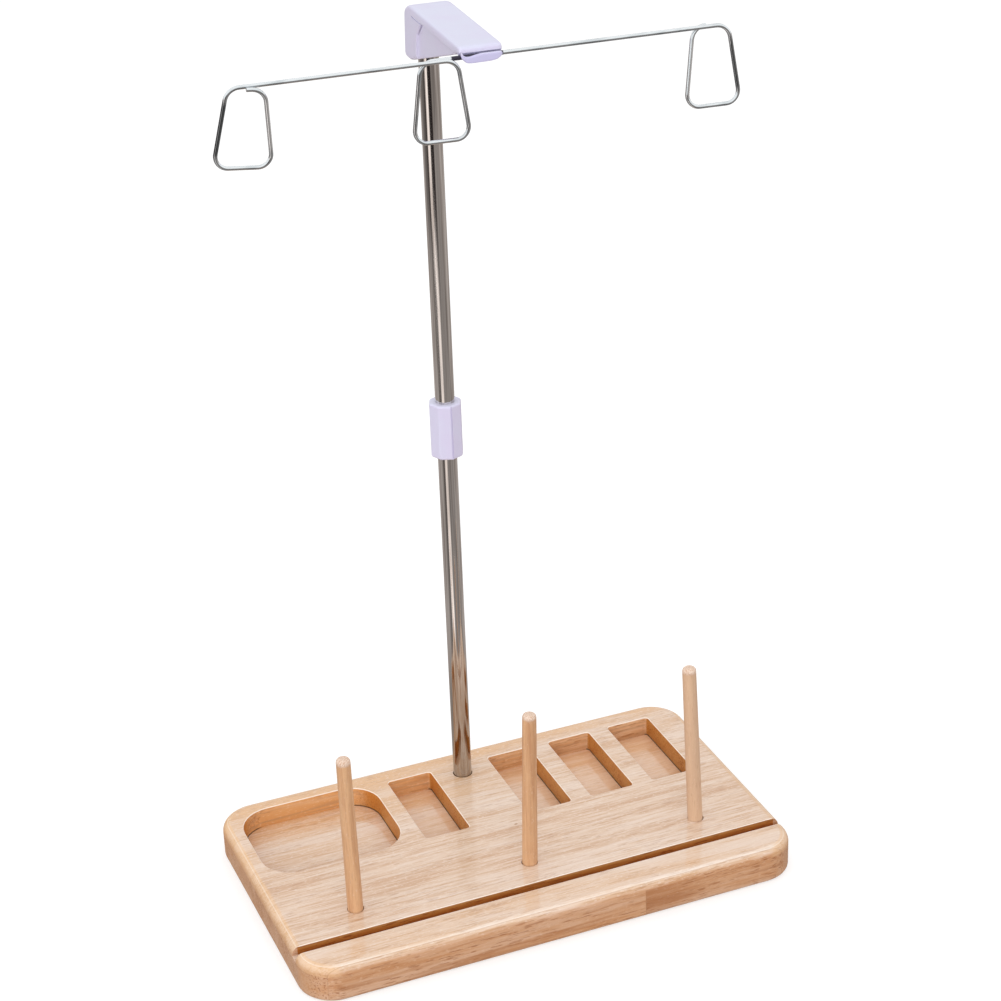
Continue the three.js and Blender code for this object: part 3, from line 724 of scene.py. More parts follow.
class Workpiece:
    """One mesh on the bench, shaped by operators. Sizes are in millimetres."""

    def __init__(self, thing: bpy.types.Object) -> None:
        """Takes an object onto the bench."""
        self.thing = thing

    @classmethod
    def _settle(cls, name: str) -> "Workpiece":
        """Names the newly added primitive and moves its place into its mesh."""
        thing = bpy.context.view_layer.objects.active
        thing.name = name
        thing.data.name = name
        bpy.ops.object.transform_apply(location=True, rotation=True, scale=True)
        return cls(thing)

    @classmethod
    def block(cls, name: str, low: Point, high: Point) -> "Workpiece":
        """Adds a block between two corners."""
        release()
        size = [h - l for l, h in zip(low, high)]
        middle = [(l + h) / 2 for l, h in zip(low, high)]
        bpy.ops.mesh.primitive_cube_add(size=1, location=metres(middle), scale=metres(size))
        return cls._settle(name)

    @classmethod
    def rod(
        cls,
        name: str,
        radius: float,
        bottom: float,
        top: float,
        sides: int,
        at: Pair = (0.0, 0.0),
        turn: float = 0.0,
    ) -> "Workpiece":
        """Adds an upright rod.

        Args:
            name: Name of the piece.
            radius: Radius of its corners.
            bottom: Height of its lower end.
            top: Height of its upper end.
            sides: Number of sides.
            at: Place of its axis.
            turn: Turn about its axis in degrees.

        Returns:
            The rod.
        """
        release()
        bpy.ops.mesh.primitive_cylinder_add(
            vertices=sides,
            radius=radius * MM,
            depth=(top - bottom) * MM,
            location=metres((*at, (bottom + top) / 2)),
            rotation=(0.0, 0.0, math.radians(turn)),
        )
        return cls._settle(name)

    @classmethod
    def cross_rod(
        cls, name: str, radius: float, half_length: float, y: float, z: float, sides: int
    ) -> "Workpiece":
        """Adds a rod that lies along X at a place in Y and Z."""
        release()
        bpy.ops.mesh.primitive_cylinder_add(
            vertices=sides,
            radius=radius * MM,
            depth=2 * half_length * MM,
            location=metres((0.0, y, z)),
            rotation=(0.0, math.pi / 2, 0.0),
        )
        return cls._settle(name)

    @staticmethod
    def _line(
        points: Sequence[Point], place: Point = (0.0, 0.0, 0.0), tilt: float = 0.0
    ) -> bpy.types.Curve:
        """Draws a line.

        Args:
            points: Points that it runs through.
            place: Where their origin goes.
            tilt: Their tilt about X in radians.

        Returns:
            The curve.
        """
        release()
        bpy.ops.curve.primitive_nurbs_path_add(location=metres(place), rotation=(tilt, 0.0, 0.0))
        curve = bpy.context.view_layer.objects.active.data
        curve.splines.clear()
        spline = curve.splines.new("POLY")
        spline.points.add(len(points) - 1)
        for target, point in zip(spline.points, points):
            target.co = (*metres(point), 1.0)
        return curve

    @classmethod
    def wire(cls, name: str, points: Sequence[Point], radius: float) -> "Workpiece":
        """Bends a round wire along points."""
        curve = cls._line(points)
        curve.dimensions = "3D"
        curve.bevel_depth = radius * MM
        curve.bevel_resolution = 4
        curve.use_fill_caps = True
        bpy.ops.object.convert(target="MESH")
        return cls._settle(name)

    @classmethod
    def plate(cls, name: str, outline: Sequence[Pair], front: float, back: float) -> "Workpiece":
        """Cuts an upright plate along a drawn outline.

        Args:
            name: Name of the plate.
            outline: Places in X and Z of its corners.
            front: Y of its front face.
            back: Y of its back face.

        Returns:
            The plate.
        """
        points = [(x, z, 0.0) for x, z in outline]
        curve = cls._line(points, (0.0, (front + back) / 2, 0.0), math.pi / 2)
        curve.splines[0].use_cyclic_u = True
        curve.dimensions = "2D"
        curve.fill_mode = "BOTH"
        curve.extrude = (back - front) / 2 * MM
        bpy.ops.object.convert(target="MESH")
        plate = cls._settle(name)
        plate.faces(lambda c, n: True)
        bpy.ops.mesh.remove_doubles(threshold=TINY * MM)
        bpy.ops.mesh.normals_make_consistent(inside=False)
        return plate.close()

    def copy(self, name: str, move: Point) -> "Workpiece":
        """Copies the piece, with a mesh of its own, to another place."""
        release()
        self.thing.select_set(True)
        bpy.context.view_layer.objects.active = self.thing
        bpy.ops.object.duplicate()
        bpy.ops.transform.translate(value=metres(move))
        return self._settle(name)

    def _open(self, kind: str) -> bmesh.types.BMesh:
        """Enters edit mode, set to select one kind of part and with nothing selected."""
        if self.thing.mode != "EDIT":
            release()
            self.thing.select_set(True)
            bpy.context.view_layer.objects.active = self.thing
            bpy.ops.object.mode_set(mode="EDIT")
        bpy.ops.mesh.select_mode(type=kind)
        bpy.ops.mesh.select_all(action="DESELECT")
        return bmesh.from_edit_mesh(self.thing.data)

    def _mark(self, mesh: bmesh.types.BMesh, parts: Iterable[object]) -> "Workpiece":
        """Selects parts of the open mesh."""
        for part in parts:
            part.select_set(True)
        mesh.select_flush_mode()
        bmesh.update_edit_mesh(self.thing.data)
        return self

    def faces(self, wanted: Callable[[Vector, Vector], bool]) -> "Workpiece":
        """Selects faces.

        Args:
            wanted: Test on a face's middle in millimetres and its normal.

        Returns:
            The piece, in edit mode.
        """
        mesh = self._open("FACE")
        found = [f for f in mesh.faces if wanted(f.calc_center_median() / MM, f.normal)]
        return self._mark(mesh, found)

    def edges(self, wanted: Callable[[Vector, Vector], bool]) -> "Workpiece":
        """Selects edges.

        Args:
            wanted: Test on the two ends of an edge in millimetres.

        Returns:
            The piece, in edit mode.
        """
        mesh = self._open("EDGE")
        found = [e for e in mesh.edges if wanted(e.verts[0].co / MM, e.verts[1].co / MM)]
        return self._mark(mesh, found)

    def rim(self, *heights: float) -> "Workpiece":
        """Selects the edges that lie level at some heights."""
        return self.edges(
            lambda a, b: any(abs(a.z - z) < TINY and abs(b.z - z) < TINY for z in heights)
        )

    def uprights(self) -> "Workpiece":
        """Selects the upright edges."""
        return self.edges(
            lambda a, b: abs(a.x - b.x) < TINY and abs(a.y - b.y) < TINY and abs(a.z - b.z) > TINY
        )

    def round_off(self, width: float, steps: int) -> "Workpiece":
        """Rounds the selected edges."""
        bpy.ops.mesh.bevel(offset=width * MM, segments=steps, profile=0.5, affect="EDGES")
        return self

    def draw_out(self, move: Point) -> "Workpiece":
        """Extrudes the selected faces."""
        bpy.ops.mesh.extrude_region_move(TRANSFORM_OT_translate={"value": metres(move)})
        return self

    def spread(self, scale: Point, middle: Point) -> "Workpiece":
        """Resizes what is selected about a point."""
        bpy.ops.transform.resize(value=scale, center_override=metres(middle))
        return self

    def close(self) -> "Workpiece":
        """Leaves edit mode."""
        release()
        return self

    def modify(self, kind: str, **settings: object) -> "Workpiece":
        """Adds a modifier and applies it.

        Args:
            kind: Type of the modifier.
            settings: Its properties.

        Returns:
            The piece.
        """
        release()
        modifier = self.thing.modifiers.new(kind.lower(), kind)
        for name, setting in settings.items():
            setattr(modifier, name, setting)
        bpy.context.view_layer.objects.active = self.thing
        self.thing.select_set(True)
        bpy.ops.object.modifier_apply(modifier=modifier.name)
        return self

    def join(self, tool: "Workpiece", how: Join) -> "Workpiece":
        """Joins the piece with a tool, which is used up."""
        self.modify("BOOLEAN", operation=how.value, object=tool.thing, solver="EXACT")
        bpy.data.objects.remove(tool.thing)
        return self

    def tidy(self) -> "Workpiece":
        """Melts away the slivers that cutting leaves and closes what they leave open."""
        self.faces(lambda c, n: True)
        bpy.ops.mesh.remove_doubles(threshold=TINY * MM)
        bpy.ops.mesh.dissolve_degenerate(threshold=TINY * MM / 2)
        bpy.ops.mesh.select_all(action="SELECT")
        bpy.ops.mesh.fill_holes(sides=0)
        bpy.ops.mesh.select_all(action="SELECT")
        bpy.ops.mesh.normals_make_consistent(inside=False)
        return self.close()

    def turn(self, degrees: float, at: Point, axis: str = "Z") -> "Workpiece":
        """Turns the piece about an axis through a point."""
        pivot = Vector(metres(at))
        turned = Matrix.Rotation(math.radians(degrees), 4, axis)
        self.thing.data.transform(Matrix.Translation(pivot) @ turned @ Matrix.Translation(-pivot))
        return self

    def move(self, by: Point) -> "Workpiece":
        """Moves what is selected in edit mode."""
        bpy.ops.transform.translate(value=metres(by))
        return self

    def dress(
        self, finish: bpy.types.Material, body: str, nodes: Sequence[str], slot: Slot
    ) -> bpy.types.Object:
        """Finishes the piece and ties it to the frame.

        Args:
            finish: Its material.
            body: CAD body that it rides on.
            nodes: CAD nodes that it stands for.
            slot: Not used.

        Returns:
            The finished object.
        """
        release()
        self.thing.select_set(True)
        bpy.context.view_layer.objects.active = self.thing
        bpy.ops.object.shade_smooth_by_angle(angle=math.radians(CREASE))
        self.modify("WEIGHTED_NORMAL", keep_sharp=True)
        self.thing.data.materials.clear()
        self.thing.data.materials.append(finish)
        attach(self.thing, body)
        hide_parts(*nodes)
        LOG.info("%s: %d faces on %s", self.thing.name, len(self.thing.data.polygons), body)
        return self.thing


# Sub-assemblies

@dataclass
class Board:
    """The wooden board with its tray, pockets, card groove and holes. Sizes in millimetres."""

    length: float = 270.0
    width: float = 160.0
    thickness: float = BOARD_TOP
    corner: float = 19.0
    top_edge: float = 5.0
    bottom_edge: float = 2.5
    floor: float = 9.0
    hollow_front: float = 6.3
    pocket_back: float = 65.9
    tray_back: float = 70.0
    tray_span: Pair = (-126.0, -50.0)
    tray_corner: float = 17.5
    pocket_width: float = 25.0
    pocket_corner: float = 2.0
    pocket_lefts: tuple[float, ...] = (-40.9, 17.8, 54.2, 90.6)
    groove_span: Pair = (-59.8, -54.2)
    groove_floor: float = 15.0
    rim_flare: float = 0.55
    flare_steps: int = 4
    kerf_width: float = 0.7
    kerf_depth: float = 0.35
    pin_hole_radius: float = 4.3
    pin_places: tuple[float, ...] = PIN_PLACES
    pin_row: float = PIN_ROW
    pin_hole_floor: float = 8.0
    mast_hole_radius: float = 5.3
    mast_y: float = MAST_Y
    screw_hole_radius: float = 2.3
    screw_hole_top: float = 12.0
    counterbore_radius: float = 5.1
    counterbore_roof: float = 4.6

    def build(self, timber: bpy.types.Material) -> bpy.types.Object:
        """Makes the board.

        Args:
            timber: Its finish.

        Returns:
            The finished piece.
        """
        half_length, half_width = self.length / 2, self.width / 2
        board = Workpiece.block(
            "board_blank",
            (-half_length, -half_width, 0.0),
            (half_length, half_width, self.thickness),
        )
        board.uprights().round_off(self.corner, 14)
        board.rim(self.thickness).round_off(self.top_edge, 8)
        board.rim(0.0).round_off(self.bottom_edge, 5).close()
        for cutter in (self._tray_cutter(), *self._pocket_cutters(), self._groove_cutter()):
            board.join(cutter, Join.CUT)
        for cutter in self._hole_cutters():
            board.join(cutter, Join.CUT)
        return board.dress(timber, "base", ["base_board"], Slot.BOARD)

    def _hollow_cutter(self, name: str, low: Point, high: Point, corner: float) -> Workpiece:
        """A router's path for one hollow, which flares at the rim.

        Args:
            name: Name of the cutter.
            low: Lowest corner of the hollow.
            high: Highest corner, level with the board's top.
            corner: Radius of its corners.

        Returns:
            The cutter.
        """
        below = high[2] - self.rim_flare
        foot = (low[0], low[1], low[2] - self.kerf_depth)
        cutter = Workpiece.block(name, foot, (high[0], high[1], below))
        cutter.uprights().round_off(corner, 8)
        cutter.faces(lambda c, n: n.z < -0.9)
        bpy.ops.mesh.inset(thickness=self.kerf_width * MM)
        cutter.move((0.0, 0.0, self.kerf_depth))
        middle = ((low[0] + high[0]) / 2, (low[1] + high[1]) / 2, below)
        return self._flare(cutter, (high[0] - low[0], high[1] - low[1]), middle)

    def _flare(self, cutter: Workpiece, sizes: Pair, middle: Point) -> Workpiece:
        """Flares the top of a cutter, so that it leaves a rounded rim.

        Args:
            cutter: The cutter, up to where the rounding starts.
            sizes: Its sizes in X and Y, nought for one that isn't to grow.
            middle: Its middle.

        Returns:
            The cutter, up to above the board.
        """
        cutter.faces(lambda c, n: n.z > 0.9)
        grown = risen = 0.0
        for step in range(1, self.flare_steps + 1):
            angle = math.pi / 2 * step / self.flare_steps
            grow = self.rim_flare * (1 - math.cos(angle))
            rise = self.rim_flare * math.sin(angle)
            cutter.draw_out((0.0, 0.0, rise - risen))
            scale = [(size + 2 * grow) / (size + 2 * grown) if size else 1.0 for size in sizes]
            cutter.spread((*scale, 1.0), middle)
            grown, risen = grow, rise
        return cutter.draw_out((0.0, 0.0, PAST)).close()

    def _tray_cutter(self) -> Workpiece:
        """Cutter of the round-cornered tray."""
        left, right = self.tray_span
        return self._hollow_cutter(
            "tray_cutter",
            (left, self.hollow_front, self.floor),
            (right, self.tray_back, self.thickness),
            self.tray_corner,
        )

    def _pocket_cutters(self) -> list[Workpiece]:
        """Cutters of the four pockets, all alike."""
        first, *others = self.pocket_lefts
        pocket = self._hollow_cutter(
            "pocket_cutter",
            (first, self.hollow_front, self.floor),
            (first + self.pocket_width, self.pocket_back, self.thickness),
            self.pocket_corner,
        )
        copies = [pocket.copy("pocket_cutter", (left - first, 0.0, 0.0)) for left in others]
        return [pocket, *copies]

    def _groove_cutter(self) -> Workpiece:
        """Cutter of the card groove, which runs out at both ends."""
        reach = self.length / 2 + 5 * PAST
        front, back = self.groove_span
        cutter = Workpiece.block(
            "groove_cutter",
            (-reach, front, self.groove_floor),
            (reach, back, self.thickness - self.rim_flare),
        )
        middle = (0.0, (front + back) / 2, self.thickness)
        return self._flare(cutter, (0.0, back - front), middle)

    def _hole_cutters(self) -> list[Workpiece]:
        """Drills for the pins, the mast and its screw."""
        top, floor = self.thickness + PAST, self.pin_hole_floor
        wide, roof = self.counterbore_radius, self.counterbore_roof
        mast = (0.0, self.mast_y)
        drills = [
            ("pin_drill", self.pin_hole_radius, floor, top, ROUND, (place, self.pin_row))
            for place in self.pin_places
        ]
        drills += [
            ("mast_drill", self.mast_hole_radius, floor, top, ROUND, mast),
            ("screw_drill", self.screw_hole_radius, -PAST, self.screw_hole_top, THIN, mast),
            ("counterbore_drill", wide, -PAST, roof, ROUND, mast),
        ]
        return [Workpiece.rod(*drill) for drill in drills]


@dataclass(frozen=True)
class Pin:
    """One pin.

    Args:
        side: Its side of the board.
        x: Its place in millimetres.
        lean: Its lean to the right in degrees.
        proud: How much higher than the common height it stands, in millimetres.
    """

    side: str
    x: float
    lean: float
    proud: float


@dataclass
class SpoolPins:
    """Three dowels that stand in the board, a little tapered. Sizes in millimetres."""

    foot: float = 8.3
    board_top: float = BOARD_TOP
    shoulder: float = 107.8
    tip: float = 110.0
    foot_radius: float = 4.0
    tip_radius: float = 3.6
    tip_flat: float = 1.4
    foot_chamfer: float = 0.8
    row: float = PIN_ROW
    taper_steps: int = 12
    dome_steps: int = 7
    pins: tuple[Pin, ...] = (
        Pin("left", PIN_PLACES[0], -0.6, -0.6),
        Pin("center", PIN_PLACES[1], 1.5, -1.2),
        Pin("right", PIN_PLACES[2], -2.2, 3.0),
    )

    def build(self, timber: bpy.types.Material) -> list[bpy.types.Object]:
        """Makes the three pins.

        Args:
            timber: Their finish.

        Returns:
            The finished pieces.
        """
        first, *others = self.pins
        dowels = [self._dowel(f"pin_{first.side}_dowel", first.x)]
        for pin in others:
            dowels.append(dowels[0].copy(f"pin_{pin.side}_dowel", (pin.x - first.x, 0.0, 0.0)))
        lean_height = (self.foot + self.board_top) / 2
        for dowel, pin in zip(dowels, self.pins):
            stretch = 1.0 + pin.proud / (self.tip - self.board_top)
            dowel.faces(lambda c, n: c.z > self.board_top + TINY)
            dowel.spread((1.0, 1.0, stretch), (pin.x, self.row, self.board_top)).close()
            dowel.turn(pin.lean, (pin.x, self.row, lean_height), "Y")
        return [
            dowel.dress(timber, f"pin_{pin.side}", [f"spool_pin_{pin.side}"], Slot.DOWEL)
            for dowel, pin in zip(dowels, self.pins)
        ]

    def _dowel(self, name: str, x: float) -> Workpiece:
        """Turns one dowel."""
        radius, height = self.foot_radius, self.board_top
        dowel = Workpiece.rod(name, radius, self.foot, height, ROUND, (x, self.row))
        dowel.rim(self.foot).round_off(self.foot_chamfer, 2)
        dowel.faces(lambda c, n: n.z > 0.9)
        middle = (x, self.row, 0.0)
        for new_radius, new_height in self._profile():
            dowel.draw_out((0.0, 0.0, new_height - height))
            scale = new_radius / radius
            dowel.spread((scale, scale, 1.0), middle)
            radius, height = new_radius, new_height
        return dowel.close()

    def _profile(self) -> list[Pair]:
        """Radius and height of each ring above the board."""
        shares = [step / self.taper_steps for step in range(1, self.taper_steps + 1)]
        angles = [math.pi / 2 * step / self.dome_steps for step in range(1, self.dome_steps + 1)]
        taper = [
            (
                self.foot_radius + (self.tip_radius - self.foot_radius) * share,
                self.board_top + (self.shoulder - self.board_top) * share,
            )
            for share in shares
        ]
        dome = [
            (
                self.tip_flat + (self.tip_radius - self.tip_flat) * math.cos(angle),
                self.shoulder + (self.tip - self.shoulder) * math.sin(angle),
            )
            for angle in angles
        ]
        return taper + dome


@dataclass
class Mast:
    """Two steel tubes, the sleeve that joins them and the fixings. Sizes in millimetres."""

    y: float = MAST_Y
    tube_radius: float = 5.0
    tube_wall: float = 1.0
    rim_round: float = 0.2
    lower_span: Pair = (8.3, 226.7)
    upper_span: Pair = (229.3, 440.7)
    sleeve_span: Pair = (213.0, 243.0)
    sleeve_across_flats: float = 16.0
    sleeve_sides: int = 8
    sleeve_edge: float = 1.6
    sleeve_end_bevel: float = 1.2
    sleeve_bore: float = 5.3
    sleeve_mouth: float = 5.06
    mouth_depth: float = 1.4
    stop_span: Pair = (227.0, 229.0)
    stop_bore: float = 3.0
    seam_width: float = 0.8
    seam_depth: float = 0.7
    plug_radii: Pair = (3.7, 2.3)
    plug_span: Pair = (8.3, 20.3)
    plug_round: float = 0.4
    washer_round: float = 0.12
    washer_radii: Pair = (4.5, 2.3)
    washer_span: Pair = (3.5, 4.3)
    screw_head_radius: float = 4.0
    screw_head_round: float = 0.9
    screw_tip_round: float = 0.4
    screw_head_span: Pair = (0.8, 3.2)
    screw_radius: float = 2.0
    screw_top: float = 16.3
    slot_length: float = 4.0
    slot_width: float = 1.0
    slot_depth: float = 1.3

    def build(
        self, steel: bpy.types.Material, plastic: bpy.types.Material, zinc: bpy.types.Material
    ) -> list[bpy.types.Object]:
        """Makes the mast.

        Args:
            steel: Finish of the tubes.
            plastic: Finish of the sleeve.
            zinc: Finish of the plug, washer and screw.

        Returns:
            The finished pieces.
        """
        radii = (self.tube_radius, self.tube_radius - self.tube_wall)
        lower = self._ring("lower_mast_tube", radii, self.lower_span, self.rim_round)
        upper = self._ring("upper_mast_tube", radii, self.upper_span, self.rim_round)
        plug = self._ring("mast_foot_plug", self.plug_radii, self.plug_span, self.plug_round)
        washer = self._ring(
            "mast_flat_washer", self.washer_radii, self.washer_span, self.washer_round
        )
        return [
            lower.dress(steel, "base", ["lower_tube"], Slot.TUBE),
            upper.dress(steel, "upper_mast", ["upper_tube"], Slot.TUBE),
            self._sleeve().dress(plastic, "base", ["coupling_sleeve"], Slot.PLASTIC),
            plug.dress(zinc, "base", ["tube_end_plug"], Slot.FIXING),
            washer.dress(zinc, "base", ["mast_washer"], Slot.FIXING),
            self._screw().dress(zinc, "base", ["mast_screw"], Slot.FIXING),
        ]

    def _ring(self, name: str, radii: Pair, span: Pair, rounding: float) -> Workpiece:
        """A length of tube with softened rims.

        Args:
            name: Name of the piece.
            radii: Outer and inner radius.
            span: Heights of its two ends.
            rounding: Radius of its rims.

        Returns:
            The tube.
        """
        outer, inner = radii
        tube = Workpiece.rod(name, outer, *span, FINE, (0.0, self.y))
        tube.faces(lambda c, n: abs(n.z) > 0.9)
        bpy.ops.mesh.inset(thickness=(outer - inner) * math.cos(math.pi / FINE) * MM)
        bpy.ops.mesh.bridge_edge_loops()
        tube.edges(
            lambda a, b: abs(a.z - b.z) < TINY
            and abs(math.hypot(a.x, a.y - self.y) - math.hypot(b.x, b.y - self.y)) < TINY
        )
        return tube.round_off(rounding, 2).close()

    def _sleeve(self) -> Workpiece:
        """The eight-sided sleeve with its two bores and moulding seam."""
        bottom, top = self.sleeve_span
        half_side = math.pi / self.sleeve_sides
        corner = self.sleeve_across_flats / 2 / math.cos(half_side)
        at = (0.0, self.y)
        sleeve = Workpiece.rod("mast_coupling_sleeve", corner, bottom, top, self.sleeve_sides, at)
        sleeve.uprights().round_off(self.sleeve_edge * math.tan(half_side), 5)
        sleeve.rim(bottom, top).round_off(self.sleeve_end_bevel, 4).close()
        stop_bottom, stop_top = self.stop_span
        bores = (
            (self.sleeve_mouth, bottom - PAST, stop_bottom),
            (self.sleeve_mouth, stop_top, top + PAST),
            (self.sleeve_bore, bottom + self.mouth_depth, stop_bottom),
            (self.sleeve_bore, stop_top, top - self.mouth_depth),
            (self.stop_bore, stop_bottom - PAST, stop_top + PAST),
        )
        for radius, low, high in bores:
            sleeve.join(Workpiece.rod("sleeve_drill", radius, low, high, FINE, at), Join.CUT)
        front = self.y - corner
        seam = Workpiece.block(
            "seam_cutter",
            (-self.seam_width / 2, front - PAST, bottom - PAST),
            (self.seam_width / 2, front + self.seam_depth, top + PAST),
        )
        return sleeve.join(seam, Join.CUT)

    def _screw(self) -> Workpiece:
        """The cross-slotted screw, head down."""
        head_bottom, head_top = self.screw_head_span
        at = (0.0, self.y)
        head_radius, top = self.screw_head_radius, self.screw_top
        screw = Workpiece.rod("mast_pan_screw", head_radius, head_bottom, head_top, ROUND, at)
        screw.rim(head_bottom).round_off(self.screw_head_round, 4).close()
        shank = Workpiece.rod("shank", self.screw_radius, head_top - PAST / 2, top, THIN, at)
        shank.rim(top).round_off(self.screw_tip_round, 2).close()
        screw.join(shank, Join.ADD)
        half, arm = self.slot_width / 2, self.slot_length / 2
        for reach_x, reach_y in ((arm, half), (half, arm)):
            slot = Workpiece.block(
                "slot_cutter",
                (-reach_x, self.y - reach_y, head_bottom - PAST),
                (reach_x, self.y + reach_y, head_bottom + self.slot_depth),
            )
            screw.join(slot, Join.CUT)
        return screw


@dataclass
class Head:
    """The moulded head with its arm and grooved nose. Sizes in millimetres.

    It is modelled with its arm straight forward from the mast's axis, then turned.
    What is called a reach is measured forward from that axis.
    """

    mast_y: float = MAST_Y
    turn: float = HEAD_TURN
    half_width: float = 10.2
    bottom: float = 423.0
    top: float = 449.6
    plate_bottom: float = WIRE_HEIGHT
    back_round: float = 19.0
    foot_round: float = 3.0
    front_corner: float = 2.0
    slope: float = 0.304
    slope_end: float = 78.9
    jaw_reach: float = 84.4
    jaw_round: float = 2.2
    lip_span: Pair = (80.5, 87.2)
    lip_outline: tuple[Pair, ...] = (
        (-10.1, 447.6),
        (-10.1, 446.0),
        (-9.4, 444.7),
        (-8.2, 443.4),
        (-7.2, 442.8),
        (-5.0, 442.6),
        (4.0, 442.7),
        (6.6, 443.1),
        (8.4, 444.2),
        (9.2, 445.4),
        (9.1, 446.3),
        (8.3, 446.6),
        (-0.6, 446.6),
        (-3.6, 446.1),
        (-6.0, 445.6),
        (-7.8, 445.7),
        (-9.0, 446.6),
        (-9.4, 447.6),
    )
    foot_spread: float = 0.7
    web_step: float = 1.0
    step_line: tuple[Pair, ...] = ((14.6, 421.0), (18.1, 438.4), (24.4, WIRE_HEIGHT))
    sink_width: float = 1.3
    sink_depth: float = 1.6
    sink_foot: float = 0.2
    line_sink: float = 0.35
    line_height: Pair = (444.75, 445.3)
    line_depth: float = 0.9
    line_start: float = 10.0
    seat_reach: float = WIRE_REACH
    seat_radius: float = 1.3
    slit_end: float = 86.0
    undercut: Pair = (82.7, 446.9)
    bore: float = 5.3
    bore_top: float = 441.0
    core_x: Pair = (1.0, 7.0)
    core_span: Pair = (10.0, 67.1)
    core_roof: float = 446.7
    core_round: float = 0.6
    voxel: float = 0.4
    melts: int = 75
    skin_voxel: float = 0.34
    skin_melts: int = 8
    back_flat: float = 0.02

    def build(self, plastic: bpy.types.Material) -> bpy.types.Object:
        """Makes the head.

        Args:
            plastic: Its finish.

        Returns:
            The finished piece.
        """
        head = self._envelope()
        head.modify("REMESH", mode="VOXEL", voxel_size=self.voxel * MM)
        head.modify("SMOOTH", factor=0.5, iterations=self.melts)
        head.join(self._side_cutter(1), Join.CUT)
        head.join(self._side_cutter(-1), Join.CUT)
        head.join(self._lip(), Join.ADD)
        head.modify("REMESH", mode="VOXEL", voxel_size=self.skin_voxel * MM)
        head.modify("SMOOTH", factor=0.5, iterations=self.skin_melts)
        for cutter in self._inner_cutters():
            head.join(cutter, Join.CUT)
        head.tidy()
        head.turn(self.turn, (0.0, self.mast_y, 0.0))
        return head.dress(plastic, "head", ["head_bracket"], Slot.PLASTIC)

    def _y(self, reach: float) -> float:
        """Place in Y of a point some way forward of the mast's axis."""
        return self.mast_y - reach

    def _block(self, name: str, across: Pair, reach: Pair, height: Pair) -> Workpiece:
        """A block placed from the mast's axis.

        Args:
            name: Name of the block.
            across: Its two sides in X, in either order.
            reach: Where it starts and ends forward of the mast's axis.
            height: Heights of its underside and top.

        Returns:
            The block.
        """
        left, right = sorted(across)
        return Workpiece.block(
            name, (left, self._y(reach[1]), height[0]), (right, self._y(reach[0]), height[1])
        )

    def _envelope(self) -> Workpiece:
        """The whole form seen from the side, cut to the whole form seen from above."""
        back = -self.half_width
        height = (self.bottom, self.top)
        wide = self.half_width + 2 * PAST
        side = self._block("head_moulding", (-wide, wide), (back, self.jaw_reach), height)
        side.edges(self._level_edge(back, self.bottom)).move((0.0, self.foot_spread, 0.0))
        side.edges(self._level_edge(back, self.top)).round_off(self.back_round, 20)
        side.edges(self._level_edge(back - self.foot_spread, self.bottom))
        side.round_off(self.foot_round, 6)
        side.edges(self._level_edge(self.jaw_reach, self.top)).round_off(self.jaw_round, 8)
        side.close()
        side.join(self._underside_cutter(), Join.CUT)
        plan = self._block(
            "head_plan",
            (-self.half_width, self.half_width),
            (back, self.jaw_reach),
            (self.bottom - 2 * PAST, self.top + 2 * PAST),
        )
        grown = 1 + self.foot_spread / self.half_width
        axis = (0.0, self.mast_y, self.bottom)
        plan.faces(lambda c, n: n.z < -0.9).spread((grown, grown, 1.0), axis)
        plan.edges(self._upright_edges(back, 1)).round_off(self.half_width - self.back_flat, 16)
        plan.edges(self._upright_edges(self.jaw_reach, -1)).round_off(self.front_corner, 6)
        plan.close()
        return side.join(plan, Join.KEEP_SHARED)

    def _level_edge(self, reach: float, height: float) -> Callable[[Vector, Vector], bool]:
        """Test for the edge that runs across the head at a reach and height."""
        y = self._y(reach)
        return lambda a, b: all(abs(p.y - y) < TINY and abs(p.z - height) < TINY for p in (a, b))

    def _upright_edges(self, reach: float, way: int) -> Callable[[Vector, Vector], bool]:
        """Test for the upright edges that lie at a reach or past it.

        Args:
            reach: Where they start, forward of the mast's axis.
            way: 1 for past it to the back, -1 for past it to the front.

        Returns:
            The test.
        """
        y = self._y(reach)
        return lambda a, b: abs(a.z - b.z) > TINY and all(
            (p.y - y) * way > -TINY for p in (a, b)
        )

    def _underside_cutter(self) -> Workpiece:
        """What is cut away under the sloping arm."""
        rise = self.plate_bottom - self.bottom
        foot = self.slope_end - rise / self.slope
        wide, below = self.half_width + 5 * PAST, 5 * PAST
        cutter = self._block(
            "underside_cutter",
            (-wide, wide),
            (foot, self.jaw_reach + 5 * PAST),
            (self.bottom - below, self.plate_bottom),
        )
        cutter.edges(self._level_edge(foot, self.plate_bottom))
        cutter.move((0.0, -rise / self.slope, 0.0))
        cutter.edges(self._level_edge(foot, self.bottom - below))
        cutter.move((0.0, below / self.slope, 0.0))
        return cutter.close()

    def _side_cutter(self, side: int) -> Workpiece:
        """What is cut away beside the web, in front of the leaning step.

        Args:
            side: 1 for the right side, -1 for the left.

        Returns:
            The cutter.
        """
        across = (side * (self.half_width - self.web_step), side * (self.half_width + 3 * PAST))
        (foot, low), (bend, middle), (end, high) = self.step_line
        reach = (foot, self.lip_span[0] - PAST)
        cutter = self._block("side_cutter", across, reach, (low, middle))
        cutter.edges(self._level_edge(foot, middle)).move((0.0, foot - bend, 0.0))
        cutter.faces(lambda c, n: n.z > 0.9).draw_out((0.0, 0.0, high - middle))
        cutter.edges(self._level_edge(bend, high)).move((0.0, bend - end, 0.0))
        return cutter.close()

    def _lip(self) -> Workpiece:
        """The lower lip that carries the wire, its left end turned up."""
        back, front = (self._y(reach) for reach in self.lip_span)
        return Workpiece.plate("lip", self.lip_outline, front, back)

